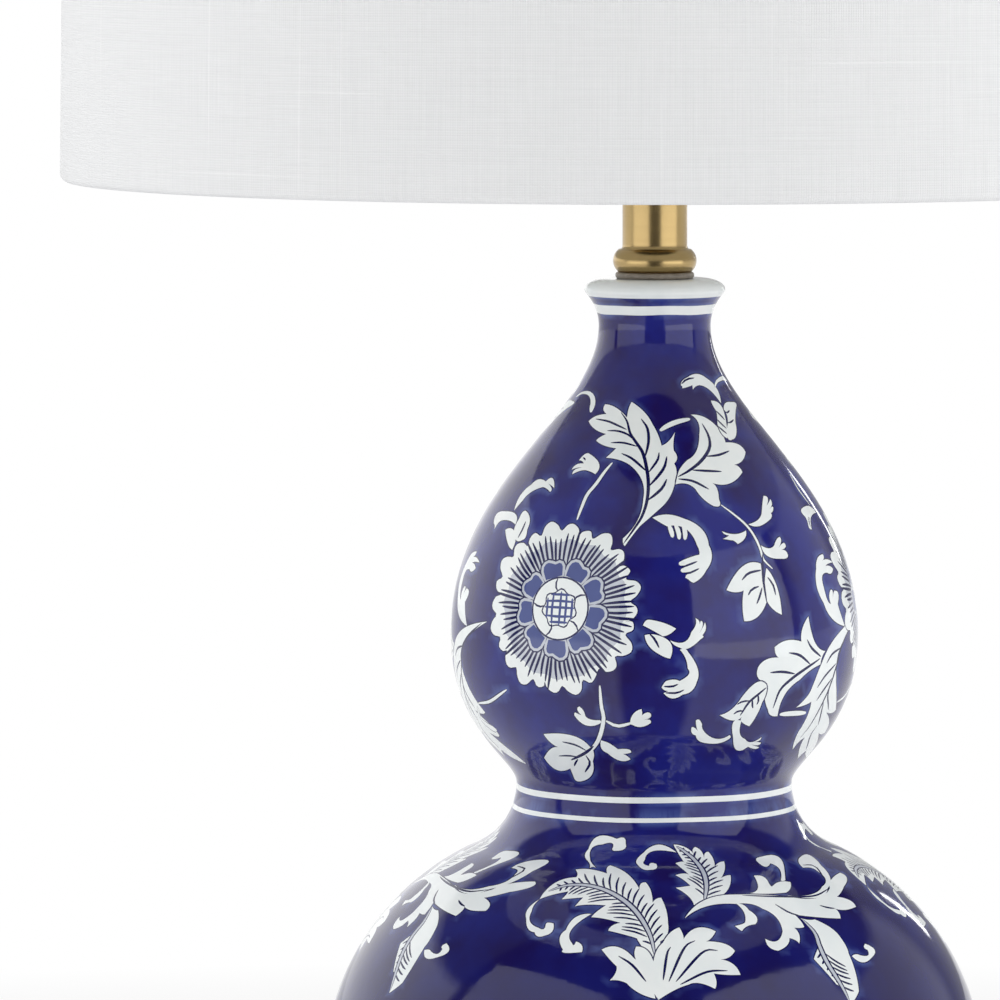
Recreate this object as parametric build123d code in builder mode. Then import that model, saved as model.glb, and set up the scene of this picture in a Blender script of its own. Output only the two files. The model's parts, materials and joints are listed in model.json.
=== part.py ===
from build123d import *
from math import asin, atan2, cos, degrees, hypot, radians, sin, sqrt
import os

# Table lamp: a hollow double-gourd porcelain body on a foot ring, a brass neck, a bulb socket with a
# turn switch, a wire harp and a linen drum shade held by a finial.
# Millimetres, +Z up, origin on the table under the middle of the lamp. The front is -Y, the cord hole
# is at the rear (+Y), and the harp stands in the XZ plane.

# Clearances
touch_gap = 0.05        # between pieces that are clamped, glued or welded together
slip_gap = 0.1          # between pieces that plug into each other
running_gap = 0.3       # between a moving piece and its neighbours
ceramic_gap = 1.2       # round the rod where it passes the porcelain

# Foot of the body
felt_thickness = 2.0
felt_margin = 1.0
cover_thickness = 2.0
foot_radius = 66.0
foot_height = 16.0
foot_width = 9.0
foot_rounding = 1.5
recess_depth = 22.0
floor_thickness = 6.0

# Double gourd
wall_thickness = 5.0
lower_sweep_radius = 88.0
lower_centre_radius = 26.0
waist_radius = 47.3
waist_fillet = 24.0
upper_bulb_radius = 70.0
upper_bulb_rise = 51.0
waist_pull, bulb_low_pull = 0.157, 0.651
neck_radius = 19.2
neck_rise = 106.0
bulb_high_pull, neck_pull = 0.5, 0.28
lip_radius = 24.2
lip_rise = 16.4
lip_drop = 4.0
lip_seat_radius = 16.0
flare_low_pull, flare_high_pull = 0.49, 0.3
lip_edge_pull, lip_seat_pull = 0.55, 0.6
top_web = 6.0

# Cord hole and its grommet
cord_hole_radius = 4.5
cord_bore_radius = 3.2
cord_hole_rise = 8.0
grommet_flange = 2.0
grommet_flange_radius = 6.5
grommet_lip_radius = 5.3

# Rod and the hardware under the floor
rod_radius = 4.8
rod_bore_radius = 3.2
rod_tail = 1.5
base_washer_radius = 32.0
base_washer_thickness = 1.5
lock_washer_width = 3.0
lock_washer_thickness = 1.2
lock_washer_split = 1.5
nut_flats = 15.0
nut_height = 6.0

# Brass neck
neck_washer_radius = 13.5
neck_washer_thickness = 2.1
neck_washer_rounding = 0.9
edge_rounding = 0.5
collar_radius = 14.3
collar_height = 9.5
collar_bead_height = 7.8
collar_bead_bulge = 1.9
collar_cove = 0.9
tube_radius = 11.1
tube_wall = 1.2
tube_height = 31.4
spigot_length = 4.0
neck_cap_overhang = 1.1
neck_cap_thickness = 2.0

# Harp saddle, bow, stud and sleeves
saddle_thickness = 1.5
saddle_width = 13.0
saddle_bend = 6.0
prong_width = 4.0
prong_height = 22.0
shoulder_low = 7.0
shoulder_high = 11.5
harp_span = 61.0
harp_width = 114.0
wire_radius = 2.0
leg_flat = 0.2
leg_straight = 55.0
flare_radius = 40.0
flare_angle = 25.0
eye_length = 28.0
eye_width = 11.0
eye_thickness = 3.2
crown_flat = 16.0
stud_shoulder_radius = 7.5
stud_shoulder_height = 3.0
post_radius = 3.1
post_length = 14.0
rivet_radius = 4.8
rivet_height = 1.5
sleeve_wall = 0.9
sleeve_length = 16.0

# Bulb, which sets the sizes of the socket round it
bulb_base_radius = 13.0
bulb_base_height = 20.0
bulb_tip_radius = 4.5
bulb_tip_height = 1.5
bulb_insulator_height = 3.5
bulb_insulator_low, bulb_insulator_inset = 6.0, 1.2
bulb_housing_height = 30.0
bulb_rim = 0.8
globe_radius = 30.0
globe_seat_depth = 13.0
globe_wall = 1.2
globe_collar = 3.0

# Socket
thread_gap = 0.4
screw_wall = 0.5
screw_height = 20.0
screw_floor_hole = 5.5
insulation_gap = 2.0
liner_wall = 0.8
shell_wall = 0.6
shell_height = 48.0
shell_overlap = 5.5
shell_bead = 0.8
socket_step = 0.5
socket_cap_wall = 0.9
socket_cap_height = 26.0
socket_cap_skirt = 6.0
hub_wall = 3.0
hub_height = 8.0
hub_straight = 4.0
interior_height = 24.0
contact_thickness = 0.6
contact_width = 5.0
contact_length = 8.0
contact_rise = 3.5
terminal_radius = 2.6
terminal_length = 3.0
terminal_rise = 7.0

# Turn switch
switch_rise = 14.0
shaft_radius = 2.0
shaft_depth = 7.0
knob_radius = 5.0
knob_length = 13.0
knob_standoff = 2.0
knob_flutes = 12
flute_radius = 0.6
knob_rounding = 0.4

# Shade
shade_bottom_radius = 203.2
shade_top_radius = 200.0
shade_height = 254.0
spider_drop = 12.7
linen_thickness = 0.7
liner_thickness = 0.5
hoop_wire_radius = 1.4
hem_return = 9.0
hem_slack = 0.25
arm_count = 3
arm_radius = 1.6
arm_run_end = 16.0
arm_bend = 6.0
arm_lead = 270.0
shade_washer_radius = 14.0
shade_washer_play = 2.4
shade_washer_thickness = 1.6

# Finial
finial_base_radius = 7.5
finial_base_height = 3.5
finial_neck_radius = 4.6
finial_neck_height = 4.5
finial_ball_radius = 9.0
finial_tip_radius = 2.6
finial_hole_spare = 1.5

# Heights of the body, from the table up
body_bottom = felt_thickness
foot_top = body_bottom + foot_height
recess_radius = foot_radius - foot_width
floor_bottom = body_bottom + recess_depth
floor_top = floor_bottom + floor_thickness
lower_centre = foot_top + sqrt(lower_sweep_radius**2 - (foot_radius - lower_centre_radius) ** 2)
fillet_reach = waist_radius + waist_fillet - lower_centre_radius
waist_level = lower_centre + sqrt((lower_sweep_radius + waist_fillet) ** 2 - fillet_reach**2)
bulb_level = waist_level + upper_bulb_rise
neck_level = bulb_level + neck_rise
lip_top = neck_level + lip_rise
lip_edge = lip_top - lip_drop
web_bottom = lip_top - top_web
cord_hole_level = body_bottom + cord_hole_rise

# Heights of the stack on the lip
nut_top = floor_bottom - base_washer_thickness - lock_washer_thickness
nut_bottom = nut_top - nut_height
collar_bottom = lip_top + neck_washer_thickness
tube_bottom = collar_bottom + collar_height
tube_top = tube_bottom + tube_height
saddle_bottom = tube_top + neck_cap_thickness
saddle_top = saddle_bottom + saddle_thickness

# Socket, from the bulb's base outwards and from the saddle up
screw_outer = bulb_base_radius + thread_gap + screw_wall
liner_inner = screw_outer + insulation_gap
liner_outer = liner_inner + liner_wall
shell_inner = liner_outer + slip_gap
shell_outer = shell_inner + shell_wall
socket_cap_inner = shell_outer + slip_gap + shell_bead / 2
socket_cap_radius = socket_cap_inner + socket_cap_wall
interior_radius = liner_inner - slip_gap
hub_radius = rod_radius + hub_wall
hub_top = saddle_top + hub_height
skirt_bottom = saddle_top + socket_cap_height - socket_cap_skirt
shell_bottom = saddle_top + socket_cap_height - shell_overlap
shell_top = shell_bottom + shell_height
liner_bottom = shell_bottom + socket_step
interior_bottom = liner_bottom + socket_step
interior_top = interior_bottom + interior_height
switch_level = interior_bottom + switch_rise
contact_top = interior_top + contact_rise
shaft_inner_end = interior_radius - shaft_depth
knob_start = shell_outer + knob_standoff

# Bulb, from the contact up
tip_bottom = contact_top + running_gap
insulator_bottom = tip_bottom + bulb_tip_height
base_bottom = insulator_bottom + bulb_insulator_height
housing_bottom = base_bottom + bulb_base_height
housing_top = housing_bottom + bulb_housing_height
globe_level = housing_top + globe_seat_depth
globe_mouth_radius = sqrt(globe_radius**2 - globe_seat_depth**2)
bulb_insulator_top = bulb_base_radius - bulb_insulator_inset

# Harp, from the saddle up
leg_x = harp_span / 2
side_radius = (harp_width - harp_span) / 2 / (1 - cos(radians(flare_angle))) - flare_radius
crown_radius = (harp_width - crown_flat) / 2
leg_bottom = saddle_top + shoulder_high + running_gap
prong_top = saddle_top + prong_height
prong_inner = leg_flat + saddle_thickness
sleeve_inner = hypot(prong_width / 2, prong_inner) + running_gap
sleeve_bottom = saddle_top + shoulder_high + running_gap
flare_rise = (flare_radius + side_radius) * sin(radians(flare_angle))
crown_level = saddle_top + leg_straight + flare_rise + crown_radius
eye_top = crown_level + eye_thickness / 2
eye_bottom = crown_level - eye_thickness / 2
shade_seat = eye_top + stud_shoulder_height
post_top = shade_seat + post_length

# Shade, hung from the seat of the stud
washer_bottom = shade_seat + running_gap
washer_top = washer_bottom + shade_washer_thickness
arm_level = (washer_bottom + washer_top) / 2
shade_top = washer_bottom + spider_drop
shade_bottom = shade_top - shade_height
finial_bottom = washer_top + running_gap

# Shade wall in the (radius, height) plane: it runs along the line between the middles of the two hems
hoop_shift = (liner_thickness + touch_gap) / 2
hem_inner = hoop_wire_radius + hem_slack + hoop_shift
hem_outer = hem_inner + linen_thickness
top_hem = Vector(shade_top_radius - hem_outer, shade_top - hem_outer)
bottom_hem = Vector(shade_bottom_radius - hem_outer, shade_bottom + hem_outer)
wall_up = (top_hem - bottom_hem).normalized()
wall_out = Vector(wall_up.Y, -wall_up.X)
wall_lean = degrees(atan2(wall_out.Y, wall_out.X))
top_hoop = top_hem - wall_out * hoop_shift
bottom_hoop = bottom_hem - wall_out * hoop_shift


def upright_ring(bottom, height, outer, inner):
    """A round plate or tube about the Z axis."""
    with BuildSketch(Plane.XY.offset(bottom)) as section:
        Circle(outer)
        Circle(inner, mode=Mode.SUBTRACT)
    extrude(section.sketch, amount=height)


def bored(bottom, height, radius):
    """A round hole about the Z axis."""
    with BuildSketch(Plane.XY.offset(bottom)) as section:
        Circle(radius)
    extrude(section.sketch, amount=height, mode=Mode.SUBTRACT)


def bar_along_y(level, start, end, radius, mode=Mode.ADD):
    """A round bar or hole parallel to Y, from y = start to y = end, with its middle at z = level."""
    with BuildSketch(Plane(origin=(0, start, level), x_dir=(1, 0, 0), z_dir=(0, 1, 0))) as section:
        Circle(radius)
    extrude(section.sketch, amount=end - start, mode=mode)


def gourd_side(inset, lowest):
    """Draw the gourd's side from the level `lowest` to the neck, moved in by `inset`; return its foot."""
    sweep_radius = lower_sweep_radius - inset
    start = asin((lowest - lower_centre) / sweep_radius)
    tangent = atan2(waist_level - lower_centre, fillet_reach)
    waist = waist_radius - inset
    bulb = upper_bulb_radius - inset
    neck = neck_radius - inset
    CenterArc(
        (lower_centre_radius, lower_centre), sweep_radius, degrees(start), degrees(tangent - start)
    )
    CenterArc(
        (waist_radius + waist_fillet, waist_level),
        waist_fillet + inset,
        180 + degrees(tangent),
        -degrees(tangent),
    )
    Bezier(
        (waist, waist_level),
        (waist, waist_level + waist_pull * upper_bulb_rise),
        (bulb, bulb_level - bulb_low_pull * upper_bulb_rise),
        (bulb, bulb_level),
    )
    Bezier(
        (bulb, bulb_level),
        (bulb, bulb_level + bulb_high_pull * neck_rise),
        (neck, neck_level - neck_pull * neck_rise),
        (neck, neck_level),
    )
    return lower_centre_radius + sweep_radius * cos(start)


# Porcelain body, thrown as two halves that are joined at the waist
with BuildPart() as gourd:
    with BuildSketch(Plane.XZ):
        with BuildLine():
            Polyline((0, lip_top), (0, body_bottom), (foot_radius - foot_rounding, body_bottom))
            CenterArc(
                (foot_radius - foot_rounding, body_bottom + foot_rounding), foot_rounding, -90, 90
            )
            Line((foot_radius, body_bottom + foot_rounding), (foot_radius, foot_top))
            gourd_side(0, foot_top)
            Bezier(
                (neck_radius, neck_level),
                (neck_radius, neck_level + flare_low_pull * lip_rise),
                (lip_radius, lip_edge - flare_high_pull * lip_drop),
                (lip_radius, lip_edge),
            )
            Bezier(
                (lip_radius, lip_edge),
                (lip_radius, lip_edge + lip_edge_pull * lip_drop),
                (lip_seat_radius + lip_seat_pull * (lip_radius - lip_seat_radius), lip_top),
                (lip_seat_radius, lip_top),
            )
            Line((lip_seat_radius, lip_top), (0, lip_top))
        make_face()
    revolve(axis=Axis.Z)
    with BuildSketch(Plane.XZ):
        with BuildLine():
            inner_foot = gourd_side(wall_thickness, floor_top)
            Polyline(
                (neck_radius - wall_thickness, neck_level),
                (neck_radius - wall_thickness, web_bottom),
                (0, web_bottom),
                (0, floor_top),
                (inner_foot, floor_top),
            )
        make_face()
    revolve(axis=Axis.Z, mode=Mode.SUBTRACT)
    bored(body_bottom, recess_depth, recess_radius)
    bored(body_bottom, lip_top - body_bottom, rod_radius + ceramic_gap)
    bar_along_y(
        cord_hole_level, recess_radius - foot_width, foot_radius + foot_width, cord_hole_radius, Mode.SUBTRACT
    )

with BuildPart() as gourd_lower:
    add(gourd)
    split(bisect_by=Plane.XY.offset(waist_level), keep=Keep.BOTTOM)

with BuildPart() as gourd_upper:
    add(gourd)
    split(bisect_by=Plane.XY.offset(waist_level), keep=Keep.TOP)

# Bushing of the cord hole: flange outside, snap lip inside
with BuildPart() as cord_grommet:
    bar_along_y(cord_hole_level, foot_radius, foot_radius + grommet_flange, grommet_flange_radius)
    bar_along_y(
        cord_hole_level, recess_radius - grommet_flange, foot_radius, cord_hole_radius - touch_gap
    )
    bar_along_y(
        cord_hole_level,
        recess_radius - grommet_flange,
        recess_radius - cord_hole_radius**2 / recess_radius,
        grommet_lip_radius,
    )
    bar_along_y(
        cord_hole_level,
        recess_radius - 2 * grommet_flange,
        foot_radius + 2 * grommet_flange,
        cord_bore_radius,
        Mode.SUBTRACT,
    )
    fillet(cord_grommet.faces().sort_by(Axis.Y)[-1].outer_wire().edges(), grommet_flange / 3)

# Felt disc that the lamp stands on
with BuildPart() as felt_pad:
    with BuildSketch(Plane.XY):
        Circle(foot_radius - felt_margin)
    extrude(amount=felt_thickness)

# Board that closes the foot ring
with BuildPart() as bottom_cover:
    with BuildSketch(Plane.XY.offset(body_bottom)):
        Circle(recess_radius - slip_gap)
    extrude(amount=cover_thickness)

# Hardware that draws the stack together under the floor
with BuildPart() as base_washer:
    upright_ring(
        floor_bottom - base_washer_thickness,
        base_washer_thickness,
        base_washer_radius,
        rod_radius + slip_gap,
    )

with BuildPart() as lock_washer:
    upright_ring(
        nut_top, lock_washer_thickness, rod_radius + slip_gap + lock_washer_width, rod_radius + slip_gap
    )
    with BuildSketch(Plane.XY.offset(nut_top)):
        with Locations((rod_radius + lock_washer_width, 0)):
            Rectangle(2 * lock_washer_width + 2 * slip_gap, lock_washer_split)
    extrude(amount=lock_washer_thickness, mode=Mode.SUBTRACT)

with BuildPart() as base_nut:
    with BuildSketch(Plane.XY.offset(nut_bottom)):
        RegularPolygon(nut_flats / 2, 6, major_radius=False)
        Circle(rod_radius + touch_gap, mode=Mode.SUBTRACT)
    extrude(amount=nut_height)
    with BuildSketch(Plane.XY.offset(nut_bottom)):
        Circle(nut_flats / 2)
    extrude(amount=nut_height, taper=-45, mode=Mode.INTERSECT)

# Hollow rod that carries the neck and the socket
with BuildPart() as threaded_rod:
    upright_ring(nut_bottom - rod_tail, hub_top - nut_bottom + rod_tail, rod_radius, rod_bore_radius)

# Grey ring on the lip
with BuildPart() as neck_washer:
    upright_ring(lip_top, neck_washer_thickness, neck_washer_radius, rod_radius + slip_gap)
    fillet(neck_washer.faces().sort_by(Axis.Z)[-1].outer_wire().edges(), neck_washer_rounding)
    fillet(neck_washer.faces().sort_by(Axis.Z)[0].outer_wire().edges(), neck_washer_rounding)

# Turned bead with a cove over it and a spigot that centres the tube
with BuildPart() as neck_collar:
    with BuildSketch(Plane.XZ):
        rod_hole = rod_radius + slip_gap
        spigot = tube_radius - tube_wall - slip_gap
        bead_edge = collar_radius - collar_bead_bulge
        bead_top = collar_bottom + collar_bead_height
        with BuildLine():
            Line((rod_hole, collar_bottom), (bead_edge, collar_bottom))
            ThreePointArc(
                (bead_edge, collar_bottom),
                (collar_radius, (collar_bottom + bead_top) / 2),
                (bead_edge, bead_top),
            )
            Line((bead_edge, bead_top), (tube_radius + collar_cove, bead_top))
            Bezier((tube_radius + collar_cove, bead_top), (tube_radius, bead_top), (tube_radius, tube_bottom))
            Polyline(
                (tube_radius, tube_bottom),
                (spigot, tube_bottom),
                (spigot, tube_bottom + spigot_length),
                (rod_hole, tube_bottom + spigot_length),
                (rod_hole, collar_bottom),
            )
        make_face()
    revolve(axis=Axis.Z)

with BuildPart() as neck_tube:
    upright_ring(tube_bottom, tube_height, tube_radius, tube_radius - tube_wall)

# Cap that closes the tube and carries the saddle
with BuildPart() as neck_cap:
    upright_ring(tube_top, neck_cap_thickness, tube_radius + neck_cap_overhang, rod_radius + slip_gap)
    fillet(neck_cap.faces().sort_by(Axis.Z)[-1].outer_wire().edges(), edge_rounding)
    upright_ring(
        tube_top - spigot_length, spigot_length, tube_radius - tube_wall - slip_gap, rod_radius + slip_gap
    )

# Strip bent up into two prongs, narrowed where the sleeves go over them
with BuildPart() as harp_saddle:
    prong_middle = leg_x - leg_flat - saddle_thickness / 2
    strip_middle = saddle_bottom + saddle_thickness / 2
    with BuildSketch(Plane.XZ):
        with BuildLine():
            FilletPolyline(
                (-prong_middle, prong_top),
                (-prong_middle, strip_middle),
                (prong_middle, strip_middle),
                (prong_middle, prong_top),
                radius=saddle_bend,
            )
        trace(line_width=saddle_thickness)
    extrude(amount=saddle_width / 2, both=True)
    with BuildSketch(Plane.YZ):
        with BuildLine():
            Polyline(
                (0, saddle_bottom),
                (saddle_width / 2, saddle_bottom),
                (saddle_width / 2, saddle_top + shoulder_low),
                (prong_width / 2, saddle_top + shoulder_high),
                (prong_width / 2, prong_top),
                (0, prong_top),
            )
            mirror(about=Plane.YZ)
        make_face()
    extrude(amount=harp_span, both=True, mode=Mode.INTERSECT)
    bored(saddle_bottom, saddle_thickness, rod_radius + slip_gap)

# Wire bow: straight legs, flared sides, round shoulders and a pressed eye at the crown
with BuildPart() as harp_bow:
    with BuildLine(Plane.XZ):
        leg = Line((leg_x, leg_bottom), (leg_x, saddle_top + leg_straight))
        flare = JernArc(leg @ 1, leg % 1, flare_radius, -flare_angle)
        side = JernArc(flare @ 1, flare % 1, side_radius, flare_angle)
        crown = JernArc(side @ 1, side % 1, crown_radius, 90)
    with BuildSketch(Plane(origin=leg @ 0, z_dir=leg % 0)):
        Circle(wire_radius)
    sweep()
    with BuildSketch(Plane.XZ):
        with Locations((leg_x - leg_flat, leg_bottom)):
            Rectangle(
                wire_radius,
                prong_top + running_gap - leg_bottom,
                align=(Align.MAX, Align.MIN),
            )
    extrude(amount=wire_radius, both=True, mode=Mode.SUBTRACT)
    mirror(about=Plane.YZ)
    with BuildSketch(Plane.XY.offset(eye_bottom)):
        SlotOverall(eye_length, eye_width)
    extrude(amount=eye_thickness)
    bored(eye_bottom, eye_thickness, post_radius)

# Stud riveted through the eye: rivet head, shoulder that the shade sits on, and threaded post
with BuildPart() as harp_stud:
    with BuildSketch(Plane.XY.offset(eye_bottom - rivet_height)):
        Circle(rivet_radius)
    extrude(amount=rivet_height)
    with BuildSketch(Plane.XY.offset(eye_bottom)):
        Circle(post_radius - touch_gap)
    extrude(amount=eye_thickness)
    with BuildSketch(Plane.XY.offset(eye_top)):
        Circle(stud_shoulder_radius)
    extrude(amount=stud_shoulder_height)
    with BuildSketch(Plane.XY.offset(shade_seat)):
        Circle(post_radius)
    extrude(amount=post_length)
    chamfer(harp_stud.faces().sort_by(Axis.Z)[-1].edges(), edge_rounding)


def sleeve_at(x):
    """A ferrule round the joint of a leg and its prong."""
    with BuildSketch(Plane(origin=(x, 0, sleeve_bottom))) as section:
        Circle(sleeve_inner + sleeve_wall)
        Circle(sleeve_inner, mode=Mode.SUBTRACT)
    extrude(section.sketch, amount=sleeve_length)


with BuildPart() as harp_sleeve_left:
    sleeve_at(-leg_x)

with BuildPart() as harp_sleeve_right:
    sleeve_at(leg_x)

# Spun cap on the rod
with BuildPart() as socket_cap:
    with BuildSketch(Plane.XZ):
        with BuildLine():
            Polyline(
                (socket_cap_radius, skirt_bottom),
                (socket_cap_radius, skirt_bottom + socket_cap_skirt),
                (0, skirt_bottom + socket_cap_skirt),
                (0, saddle_top),
                (hub_radius, saddle_top),
                (hub_radius, saddle_top + hub_straight),
            )
            Bezier(
                (hub_radius, saddle_top + hub_straight),
                (hub_radius, (saddle_top + hub_straight + skirt_bottom) / 2),
                (socket_cap_radius, (saddle_top + hub_straight + skirt_bottom) / 2),
                (socket_cap_radius, skirt_bottom),
            )
        make_face()
    revolve(axis=Axis.Z)
    with BuildSketch(Plane.XZ):
        with BuildLine():
            Polyline(
                (socket_cap_inner, skirt_bottom),
                (socket_cap_inner, skirt_bottom + socket_cap_skirt),
                (0, skirt_bottom + socket_cap_skirt),
                (0, hub_top),
                (hub_radius, hub_top),
            )
            Bezier(
                (hub_radius, hub_top),
                (hub_radius, (hub_top + skirt_bottom) / 2),
                (socket_cap_inner, (hub_top + skirt_bottom) / 2),
                (socket_cap_inner, skirt_bottom),
            )
        make_face()
    revolve(axis=Axis.Z, mode=Mode.SUBTRACT)
    bored(saddle_top, hub_height, rod_radius + touch_gap)

# Shell with a rolled bead round its mouth and a hole for the switch
with BuildPart() as socket_shell:
    with BuildSketch(Plane.XZ):
        with BuildLine():
            Polyline(
                (shell_outer, shell_top - 2 * shell_bead),
                (shell_outer, shell_bottom),
                (shell_inner, shell_bottom),
                (shell_inner, shell_top),
                (shell_outer, shell_top),
            )
            ThreePointArc(
                (shell_outer, shell_top),
                (shell_outer + shell_bead, shell_top - shell_bead),
                (shell_outer, shell_top - 2 * shell_bead),
            )
        make_face()
    revolve(axis=Axis.Z)
    bar_along_y(
        switch_level, -socket_cap_radius, -shaft_inner_end, shaft_radius + running_gap, Mode.SUBTRACT
    )

# Paper sleeve inside the shell
with BuildPart() as socket_liner:
    upright_ring(liner_bottom, shell_top - shell_bead - liner_bottom, liner_outer, liner_inner)
    bar_along_y(
        switch_level, -socket_cap_radius, -shaft_inner_end, shaft_radius + running_gap, Mode.SUBTRACT
    )

# Moulded insulating body with the shaft's bearing and the seats of its two terminals
with BuildPart() as socket_interior:
    with BuildSketch(Plane.XY.offset(interior_bottom)):
        Circle(interior_radius)
    extrude(amount=interior_height)
    bar_along_y(
        switch_level, -socket_cap_radius, -shaft_inner_end, shaft_radius + slip_gap, Mode.SUBTRACT
    )
    with BuildSketch(Plane.XY.offset(interior_bottom)):
        with PolarLocations(interior_radius, 2):
            Rectangle(2 * terminal_length, 4 * terminal_radius)
    extrude(amount=terminal_rise + 2 * terminal_radius, mode=Mode.SUBTRACT)

with BuildPart() as terminal_screws:
    for side_sign in (-1, 1):
        seat_x = side_sign * (interior_radius - terminal_length)
        with BuildSketch(
            Plane(origin=(seat_x, 0, interior_bottom + terminal_rise), z_dir=(side_sign, 0, 0))
        ):
            Circle(terminal_radius)
        extrude(amount=terminal_length * 2 / 3)

# Cup that the bulb screws into
with BuildPart() as screw_shell:
    upright_ring(interior_top, screw_height, screw_outer, screw_outer - screw_wall)
    upright_ring(interior_top, screw_wall, screw_outer, screw_floor_hole)

# Spring tongue in the floor of the cup
with BuildPart() as centre_contact:
    half = contact_length / 2
    with BuildSketch(Plane.XZ):
        Polygon(
            (-half, interior_top),
            (0, interior_top),
            (half, contact_top - contact_thickness),
            (half, contact_top),
            (0, interior_top + contact_thickness),
            (-half, interior_top + contact_thickness),
            align=None,
        )
    extrude(amount=contact_width / 2, both=True)

# Turn switch: shaft in its bearing and fluted knob
with BuildPart() as switch_shaft:
    bar_along_y(
        switch_level, -(knob_start + knob_length / 2), -(shaft_inner_end + running_gap), shaft_radius
    )

with BuildPart() as switch_knob:
    with BuildSketch(Plane(origin=(0, -knob_start, switch_level), x_dir=(1, 0, 0), z_dir=(0, -1, 0))):
        Circle(knob_radius)
        with PolarLocations(knob_radius, knob_flutes):
            Circle(flute_radius, mode=Mode.SUBTRACT)
    extrude(amount=knob_length)
    rim = switch_knob.faces().sort_by(Axis.Y)[0].outer_wire().edges()
    fillet(rim.filter_by(lambda edge: edge.radius > 2 * flute_radius), knob_rounding)
    bar_along_y(
        switch_level,
        -(knob_start + knob_length / 2),
        -knob_start,
        shaft_radius + touch_gap,
        Mode.SUBTRACT,
    )

# Bulb: tip, insulator, screw base, housing and globe
with BuildPart() as bulb_tip:
    with BuildSketch(Plane.XY.offset(tip_bottom)):
        Circle(bulb_tip_radius)
    extrude(amount=bulb_tip_height)
    fillet(bulb_tip.faces().sort_by(Axis.Z)[0].edges(), bulb_tip_height / 2)

with BuildPart() as bulb_insulator:
    with BuildSketch(Plane.XZ):
        Polygon(
            (0, insulator_bottom),
            (bulb_insulator_low, insulator_bottom),
            (bulb_insulator_top, base_bottom),
            (0, base_bottom),
            align=None,
        )
    revolve(axis=Axis.Z)

with BuildPart() as bulb_screw_base:
    with BuildSketch(Plane.XY.offset(base_bottom)):
        Circle(bulb_base_radius)
    extrude(amount=bulb_base_height)
    chamfer(bulb_screw_base.faces().sort_by(Axis.Z)[0].edges(), bulb_insulator_inset)

with BuildPart() as bulb_housing:
    rim_radius = globe_mouth_radius + bulb_rim
    with BuildSketch(Plane.XZ):
        with BuildLine():
            Polyline(
                (rim_radius, housing_top),
                (0, housing_top),
                (0, housing_bottom),
                (bulb_base_radius + bulb_rim, housing_bottom),
            )
            Bezier(
                (bulb_base_radius + bulb_rim, housing_bottom),
                (bulb_base_radius + bulb_rim, housing_bottom + bulb_housing_height / 2),
                (rim_radius, housing_top - bulb_housing_height / 2),
                (rim_radius, housing_top),
            )
        make_face()
    revolve(axis=Axis.Z)
    with BuildSketch(Plane.XY.offset(housing_top - globe_collar)):
        Circle(globe_mouth_radius - globe_wall)
    extrude(amount=globe_collar, mode=Mode.SUBTRACT)

with BuildPart() as bulb_globe:
    mouth_inner = sqrt((globe_radius - globe_wall) ** 2 - globe_seat_depth**2)
    with BuildSketch(Plane.XZ):
        with BuildLine():
            CenterArc(
                (0, globe_level),
                globe_radius,
                -degrees(asin(globe_seat_depth / globe_radius)),
                90 + degrees(asin(globe_seat_depth / globe_radius)),
            )
            Line((0, globe_level + globe_radius), (0, globe_level + globe_radius - globe_wall))
            CenterArc(
                (0, globe_level),
                globe_radius - globe_wall,
                -degrees(asin(globe_seat_depth / (globe_radius - globe_wall))),
                90 + degrees(asin(globe_seat_depth / (globe_radius - globe_wall))),
            )
            Line((mouth_inner, housing_top), (globe_mouth_radius, housing_top))
        make_face()
    revolve(axis=Axis.Z)


def spider_arm(radius, index):
    """A round arm of the spider, from the washer's rim out and up to a butt joint with the top hoop."""
    bend = Vector(top_hoop.X - arm_run_end, arm_level)
    butt = top_hoop - (top_hoop - bend).normalized() * (hoop_wire_radius + touch_gap)
    with BuildLine(Plane.XZ) as arm_path:
        FilletPolyline(
            (shade_washer_radius + touch_gap, arm_level), (bend.X, bend.Y), (butt.X, butt.Y), radius=arm_bend
        )
    with BuildSketch(Plane(origin=arm_path.line @ 0, z_dir=arm_path.line % 0)) as section:
        Circle(radius)
    arm = sweep(section.sketch, path=arm_path.line, mode=Mode.PRIVATE)
    return arm.rotate(Axis.Z, arm_lead + index * 360 / arm_count)


def hoop(middle):
    """A closed wire ring about the Z axis."""
    with BuildSketch(Plane.XZ) as section:
        with Locations(middle):
            Circle(hoop_wire_radius)
    revolve(section.sketch, axis=Axis.Z)


# Linen, rolled round both hoops and tucked in behind them, slit where the arms pass
with BuildPart() as shade_cover:
    with BuildSketch(Plane.XZ):
        outer, inner, tuck = wall_out * hem_outer, wall_out * hem_inner, wall_up * hem_return
        with BuildLine():
            Line(bottom_hem + outer, top_hem + outer)
            CenterArc(top_hem, hem_outer, wall_lean, 180)
            Polyline(top_hem - outer, top_hem - outer - tuck, top_hem - inner - tuck, top_hem - inner)
            CenterArc(top_hem, hem_inner, wall_lean + 180, -180)
            Line(top_hem + inner, bottom_hem + inner)
            CenterArc(bottom_hem, hem_inner, wall_lean, -180)
            Polyline(
                bottom_hem - inner, bottom_hem - inner + tuck, bottom_hem - outer + tuck, bottom_hem - outer
            )
            CenterArc(bottom_hem, hem_outer, wall_lean + 180, 180)
        make_face()
    revolve(axis=Axis.Z)
    for index in range(arm_count):
        add(spider_arm(arm_radius + slip_gap, index), mode=Mode.SUBTRACT)

# Stiff sheet behind the linen, from hoop to hoop
with BuildPart() as shade_liner:
    face = wall_out * (hem_inner - touch_gap)
    back = wall_out * (hem_inner - touch_gap - liner_thickness)
    with BuildSketch(Plane.XZ):
        Polygon(bottom_hem + face, top_hem + face, top_hem + back, bottom_hem + back, align=None)
    revolve(axis=Axis.Z)

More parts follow.
